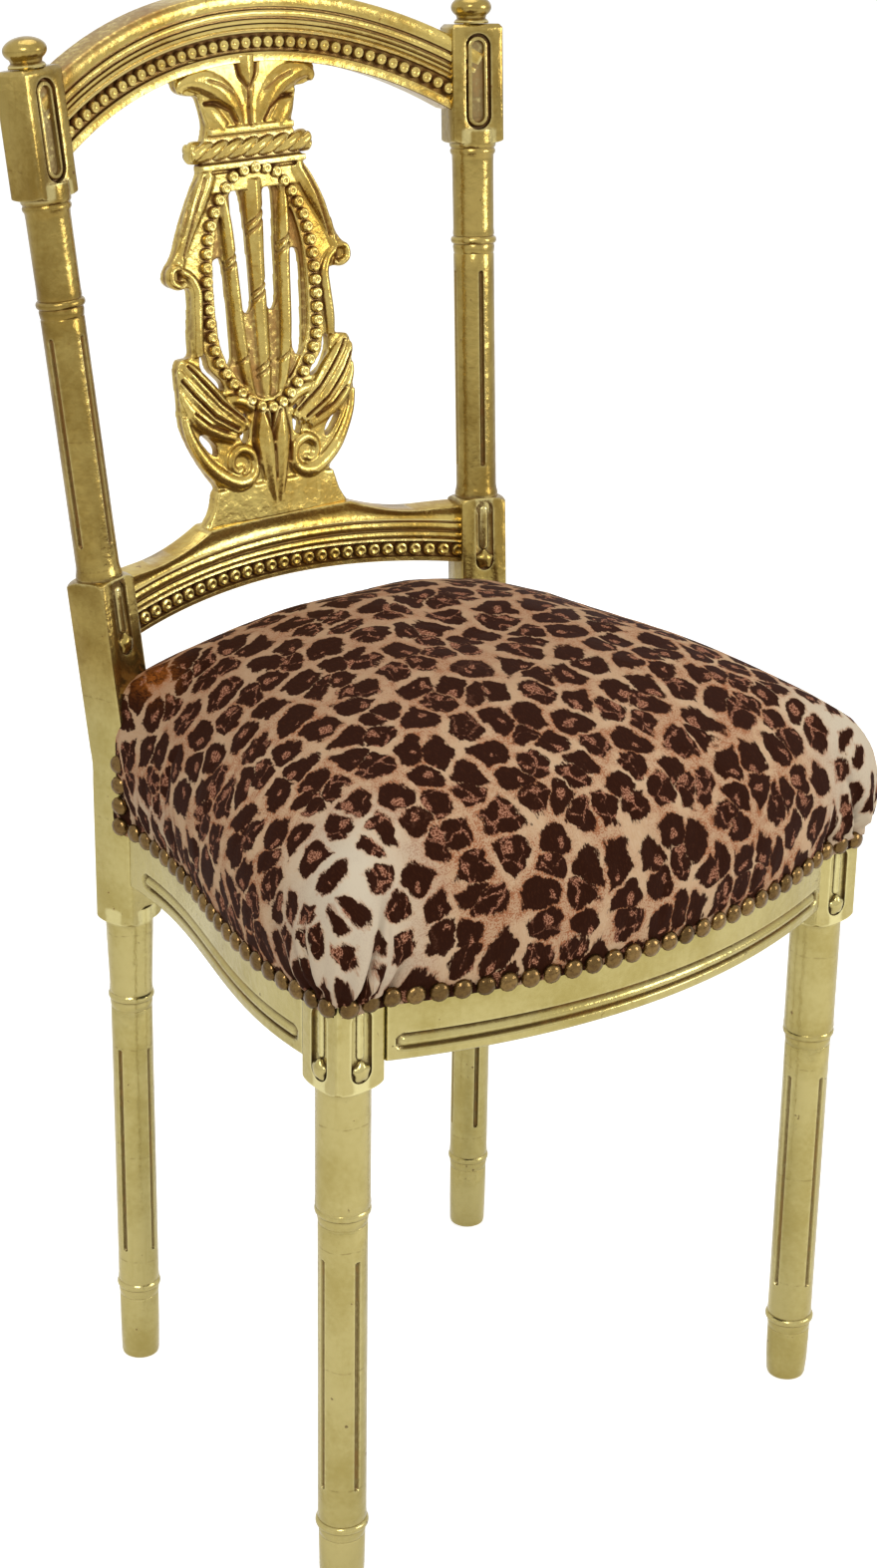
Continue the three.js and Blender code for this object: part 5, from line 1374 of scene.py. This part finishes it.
def skinned(rings, cloth=None):
    """A grid rolled into the rings and sewn up along its seam and at its crown."""
    bm = bmesh.new()
    bmesh.ops.create_grid(bm, x_segments=COLUMNS, y_segments=len(rings) - 1, size=0.5)
    flat = bm.loops.layers.uv.new("cloth") if cloth is not None else None
    corner, rise = (bm.verts.layers.float.new(name) for name in ("corner", "rise"))
    apart = corner_distance(columns)
    spots = {}
    for vert in bm.verts:
        column = round((vert.co.x + 0.5) * COLUMNS) % COLUMNS
        spots[vert] = (round((vert.co.y + 0.5) * (len(rings) - 1)), column)
    for vert, (row, column) in spots.items():
        vert.co = rings[row, column]
        vert[corner], vert[rise] = apart[column], max(rings[row, column][2] - HEM, 0) / CROWN_RISE
    if flat:
        for face in bm.faces:
            for loop in face.loops:
                loop[flat].uv = cloth[spots[loop.vert]] * MM
    bmesh.ops.remove_doubles(bm, verts=bm.verts, dist=0.002)
    bmesh.ops.recalc_face_normals(bm, faces=bm.faces)
    return bm


cover_rings = seat_rings(3, 402, 50)
cover = skinned(cover_rings, cloth_map(cover_rings))
print("cover:", len(cover.verts), "points, crown at", round(cover_rings[:, :, 2].max()), "mm")

# %% [markdown]
# ## Stuffing it out
# A stuffed seat is tight, yet its cloth still shows soft hollows. So the cover is made a
# little small, and a short cloth simulation blows it up from within while the hem is held
# fast. How far a point may go is capped, so that the seat keeps its size.
# The result is read back into the mesh, and no simulation stays on the piece.

# %% Cloth simulation
HELD_BELOW = 0.4095
FRAMES, MOVE_CAP = 20, 0.006


def blown_up(bm, frames, cap):
    """The mesh after some frames of pressure from within, its lowest rows held."""
    body = object_from(bm, "trial_cover")
    start = points_of(body).astype(float)
    held = body.vertex_groups.new(name="held")
    held.add([int(v) for v in np.nonzero(start[:, 2] < HELD_BELOW)[0]], 1, "REPLACE")
    change = body.modifiers.new("pressure", "CLOTH")
    cloth = change.settings
    cloth.quality, cloth.mass, cloth.vertex_group_mass = 6, 0.25, "held"
    cloth.tension_stiffness = cloth.compression_stiffness = 12
    cloth.shear_stiffness, cloth.bending_stiffness, cloth.shrink_min = 4, 0.3, -0.012
    cloth.use_pressure, cloth.uniform_pressure_force = True, 4
    cloth.effector_weights.gravity = 0
    change.point_cache.frame_start, change.point_cache.frame_end = 1, frames
    stage = bpy.context.scene
    for step in range(1, frames + 1):
        stage.frame_set(step)
    settled = body.evaluated_get(bpy.context.evaluated_depsgraph_get())
    moved = points_of(settled).astype(float) - start
    stage.frame_set(1)
    body.modifiers.remove(change)
    far = np.linalg.norm(moved, axis=1)
    moved *= (np.minimum(far, cap) / np.maximum(far, 1e-9))[:, None]
    body.data.vertices.foreach_set("co", (start + moved).astype(np.float32).ravel())
    body.data.update()
    print("moved", round(far.mean() * 1000, 1), "mm on average, at most", round(far.max() * 1000, 1))
    return body


def points_of(piece):
    spots = np.empty(len(piece.data.vertices) * 3, np.float32)
    piece.data.vertices.foreach_get("co", spots)
    return spots.reshape(-1, 3)


# %% [markdown]
# ## Sewing the cover into a piece
# A sheet of cloth has a front and a back, so the skin gets a little thickness, inwards. It
# also learns where it is pale, because the print is rubbed and stretched at the corners and
# because a painted highlight lies there and low on the sides, where the tuck at a back post
# is stained rusty, and where a fold is in its own shade, painted darker in each pleat's valley.
# The pleats are pressed in after the simulation, so that they stay crisp.

# %% Leopard cover and stuffing
def mark(piece, name, values):
    layer = piece.data.attributes.new(name, "FLOAT", "POINT")
    layer.data.foreach_set("value", np.asarray(values, np.float32))


cover.transform(TO_PART)
trial = blown_up(cover, FRAMES, MOVE_CAP)
sewn = bmesh.new()
sewn.from_mesh(trial.data)
sewn.transform(TO_PART.inverted())
sewn.normal_update()
dropped(trial)
corner, rise = (sewn.verts.layers.float[name] for name in ("corner", "rise"))
# How deep each point lies in a pleat's valley, kept for the painted shade there.
folds = []
for vert in sewn.verts:
    push = float(pleated(vert[corner], vert[rise]))
    vert.co += vert.normal * push
    folds.append(min(max(-push / 3, 0), 1))
seat = show(sewn, "leopard_cover", leopard_cloth, "leopard_fabric", "seat_cover", sharp=180)
spots = points_of(seat) / MM - np.array((0, LEG_AXES / MM, 0))
# Where the print is paler: front corners and low on the sides near the back, partly rubbed print,
# partly painted highlight.
pale = np.zeros(len(spots))
for side in (-1, 1):
    away = np.hypot((spots[:, 0] - side * 200) / 52, (spots[:, 1] + 12) / 50)
    pale = np.maximum(pale, np.clip(1.25 - away, 0, 1) * np.clip((spots[:, 2] - 395) / 30, 0, 1))
    away = np.linalg.norm((spots - (side * 185, 235, 428)) / (40, 62, 26), axis=1)
    pale = np.maximum(pale, np.clip(1.2 - away, 0, 1) * 0.6)
mark(seat, "pale", pale * 0.85)
mark(seat, "fold", folds)
across, ahead, height = spots.T
tuck = np.linalg.norm((np.abs(across) - 150, ahead - 268, (height - 512) * 1.6), axis=0)
mark(seat, "rusty", np.exp(-(tuck / 17) ** 2))
thick = seat.modifiers.new("cloth", "SOLIDIFY")
thick.thickness, thick.offset = 1.6 * MM, -1

stuffing_rings = seat_rings(10, 424, 30)
stuffing_form = skinned(stuffing_rings)
rim = [edge for edge in stuffing_form.edges if edge.is_boundary]
bmesh.ops.edgeloop_fill(stuffing_form, edges=rim)
stuffing = show(stuffing_form, "stuffed_pad", soft_wadding, "stuffing", "seat_stuffing", sharp=180)
area = sum(face.area for face in seat.data.polygons)
print("cloth area:", round(area, 4), "square metres")

# %% [markdown]
# ## Domed nails
# The nails stand in a row a little above the bottom of the cloth, edge to edge. At each back
# post three more climb its outer face. One domed head is made and set at even distances
# along the row, each a little tipped and turned, because they are driven by hand.

# %% Nail rows
def nail_head():
    profile = [(6.25, -0.6), (6.3, 0), (6.1, 0.8), (5.4, 1.9), (4.2, 2.9), (2.4, 3.5), (0.9, 3.65)]
    return turned(profile, 14)


def along_line(line, pitch):
    """Even places along a line, as points, with half a pitch left at its ends."""
    line = np.array(line)
    reach = reach_along(line)
    count = round(reach[-1] / pitch)
    at = (np.arange(count) + 0.5) * reach[-1] / count
    return np.stack([np.interp(at, reach, line[:, axis]) for axis in range(line.shape[1])], 1)


def nail_line(first, last):
    """Rows of x, y, height and the way out, along the plan between two points."""
    loop = softened(seat_plan, 4)
    out = ways_out(loop)
    start, end = (np.argmin(np.hypot(*(loop - spot).T)) for spot in (first, last))
    steps = np.arange(start, end + (PLAN_POINTS if end < start else 0) + 1) % PLAN_POINTS
    rows = []
    for x, y, ox, oy in np.column_stack([loop, out])[steps]:
        sag = max(0, 1 - (x / FRONT_HALF) ** 2) * 3 if y < 0 else 0
        rows.append((x + ox * 2.9, y + oy * 2.9, HEM - sag, ox, oy))
    return rows


def nail_rows():
    corner = ((-211, -17), (211, -17))
    places = {"front": along_line(nail_line(*corner), NAIL_PITCH)}
    side = along_line(nail_line(corner[1], (163, 288.5)), NAIL_PITCH)
    x, y, _, out_x, out_y = side[-1]
    climb = [(x, y, HEM + 14.4 * step, out_x, out_y) for step in (1, 2, 3)]
    places["right"] = np.vstack([side, climb])
    places["left"] = places["right"] * np.array((-1, 1, 1, -1, 1))
    back = [(x, 310.9, HEM, 0, 1) for x in (116, -116)]
    places["back"] = along_line(back, NAIL_PITCH)
    return places


shape = bpy.data.meshes.new("nail")
head = nail_head()
head.to_mesh(shape)
head.free()
# Without a seed of its own, noise_vector is shifted by the clock, another way in each run.
noise.seed_set(7)
for hand, rows in nail_rows().items():
    row = bmesh.new()
    tone = row.verts.layers.float.new("tone")
    for count, (x, y, height, out_x, out_y) in enumerate(rows):
        wobble = noise.noise_vector(Vector((x * 0.37, y * 0.37, count))) * 0.14
        out = Vector((out_x, out_y, 0)).normalized() + wobble
        row.from_mesh(shape)
        fresh = row.verts[len(row.verts) - len(shape.vertices):]
        bmesh.ops.transform(row, matrix=facing((x, y, height), out), verts=fresh)
        shade = 0.5 + 0.9 * noise.noise(Vector((x * 0.9, y * 0.9, 7)))
        for vert in fresh:
            vert[tone] = shade
    show(row, f"nails_{hand}", nail_finish, "antique_brass", f"nail_trim_{hand}", sharp=70)

# %% [markdown]
# ## Under the seat
# Six jute straps are woven over and under each other across the frame, a piece of hessian
# lies on them under the pad, and a black cloth closes the frame from below. The straps are
# flat bands that wave by the thickness of the one they cross.

# %% Straps, hessian and dust cloth
def strap(along_x, place, start, end, crossings, phase):
    bm = bmesh.new()
    bmesh.ops.create_grid(bm, x_segments=72, y_segments=6, size=0.5)
    for vert in bm.verts:
        at = start + (end - start) * (vert.co.x + 0.5)
        lift = 0
        for count, middle in enumerate(crossings):
            sign = 1 if (count + phase) % 2 else -1
            lift += (sign + 1) * math.exp(-((at - middle) / 34) ** 4)
        across = place + vert.co.y * 50
        height = 416.3 + 1.1 * lift
        vert.co = (at, across, height) if along_x else (across, at, height)
    bmesh.ops.solidify(bm, geom=bm.faces[:], thickness=-1.3)
    bmesh.ops.recalc_face_normals(bm, faces=bm.faces)
    return bm


LONG_STRAPS = [share * 388 for share in (-0.237, 0, 0.237)]
CROSS_STRAPS = [share * 296 for share in (0.169, 0.432, 0.696)]
for count, x in enumerate(LONG_STRAPS):
    band = strap(False, x, front_rail_y(x) + 12, 296, CROSS_STRAPS, count)
    show(band, f"jute_strap_long_{count + 1}", jute_web, "jute", f"webbing_long_{count + 1}")
for count, y in enumerate(CROSS_STRAPS):
    reach = side_rail_x(y) - 12
    band = strap(True, y, -reach, reach, LONG_STRAPS, count + 1)
    show(band, f"jute_strap_cross_{count + 1}", jute_web, "jute", f"webbing_cross_{count + 1}")


def flat_cloth(inset, height, sag, columns_round=96):
    """The seat's plan drawn in by an inset, as a thin cloth that sags in the middle."""
    half = [(x, front_rail_y(x) + inset) for x in np.linspace(0, FRONT_HALF, 16)]
    half += [(side_rail_x(y) - inset, y) for y in np.linspace(SIDE_START, 268, 18)]
    half += [(132, 280), (126, SEAT_BACK - inset)]
    loop = even_loop([*half, (0, SEAT_BACK - inset), *mirrored(half[1:])], columns_round)
    bm = bmesh.new()
    bmesh.ops.create_grid(bm, x_segments=columns_round, y_segments=12, size=0.5)
    for vert in bm.verts:
        share = 0.5 - vert.co.y
        spot = loop[round((vert.co.x + 0.5) * columns_round) % columns_round]
        across, ahead = SEAT_MIDDLE + (spot - SEAT_MIDDLE) * (1 - share)
        vert.co = (across, ahead, height - sag * (1 - (1 - share) ** 2))
    bmesh.ops.remove_doubles(bm, verts=bm.verts, dist=0.01)
    bmesh.ops.recalc_face_normals(bm, faces=bm.faces)
    bmesh.ops.solidify(bm, geom=bm.faces[:], thickness=0.8)
    bmesh.ops.recalc_face_normals(bm, faces=bm.faces)
    return bm


hessian = show(flat_cloth(6, 421.4, 0.2), "hessian_cloth", hessian_cloth, "jute", "hessian")
dust = show(flat_cloth(26, 364.4, 1.2), "black_dust_cloth", dust_cloth, "black_cloth", "dust_cover")

# %% [markdown]
# ## What stays as it is
# The corner blocks, their screws and the back rail keep their solids, which have the right
# shape, and only get their finish.

# %% Finishes of the solids that stay
def refinish(node, finish):
    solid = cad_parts[node]
    solid.data.materials.clear()
    solid.data.materials.append(finish)


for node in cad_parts:
    if node.startswith("corner_block"):
        refinish(node, bare_beech)
    elif node.startswith("corner_screw"):
        refinish(node, screw_steel)
refinish("back_rail", pale_gilt)
print("solids that stay:", sum(not solid.hide_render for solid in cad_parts.values()))

# %% [markdown]
# ## Floor and light
# A plain pale floor and soft lamps: one broad lamp from the left front, one from the right
# front that the fronts of the gilt pieces mirror, and one above. The sky lights the shadows
# and shows white behind the chair. The standard view shows a colour as it is written,
# without a film look over it.

# %% Floor, lamps and sky
def pale_floor():
    """Matt and pale. What the camera and the gold see of it is lifted to white."""
    finish = Finish("pale_floor")
    rays = finish.add("ShaderNodeLightPath", None, None, "Is Camera Ray")
    glossy = finish.add("ShaderNodeLightPath", None, None, "Is Glossy Ray")
    lift = finish.mix(glossy, (0, 0, 0, 1), (0.3, 0.3, 0.3, 1))
    lift = finish.mix(rays, lift, (0.7, 0.7, 0.7, 1))
    finish.give(finish.shader, {"Base Color": paint(246, 245, 243), "Roughness": 0.9,
                                "Emission Color": lift, "Emission Strength": 1})
    return finish.material


bpy.context.scene.view_settings.view_transform = "Standard"
ground = bmesh.new()
bmesh.ops.create_grid(ground, x_segments=1, y_segments=1, size=30)
floor = object_from(ground, "floor")
floor.data.materials.append(pale_floor())


def lamp(name, place, aim, size, power):
    light = bpy.data.lights.new(name, "AREA")
    light.shape, light.size, light.energy = "DISK", size, power
    holder = bpy.data.objects.new(name, light)
    way = Vector(aim) - Vector(place)
    holder.matrix_world = Matrix.Translation(place) @ way.to_track_quat("-Z", "Y").to_matrix().to_4x4()
    bpy.context.scene.collection.objects.link(holder)


lamp("key", (-1.9, -1.7, 2.6), (0, 0, 0.45), 1.1, 31)
lamp("fill", (1.7, -2.0, 1.2), (0, 0, 0.5), 1.1, 20)
lamp("top", (0.3, 0.6, 3.0), (0, 0, 0.45), 1.8, 16)

world = bpy.data.worlds.new("sky")
bpy.context.scene.world = world
world.use_nodes = True
sky = world.node_tree
sky.nodes.clear()
rays = sky.nodes.new("ShaderNodeLightPath")
matt = rays.outputs["Is Diffuse Ray"]
strength = sky.nodes.new("ShaderNodeMapRange")
strength.inputs["To Min"].default_value = 1.0
strength.inputs["To Max"].default_value = 0.42
sky.links.new(matt, strength.inputs["Value"])
glow = sky.nodes.new("ShaderNodeBackground")
glow.inputs["Color"].default_value = (1, 1, 1, 1)
sky.links.new(strength.outputs[0], glow.inputs["Strength"])
backdrop = sky.nodes.new("ShaderNodeOutputWorld")
sky.links.new(glow.outputs[0], backdrop.inputs[0])
print("floor, three lamps and sky")
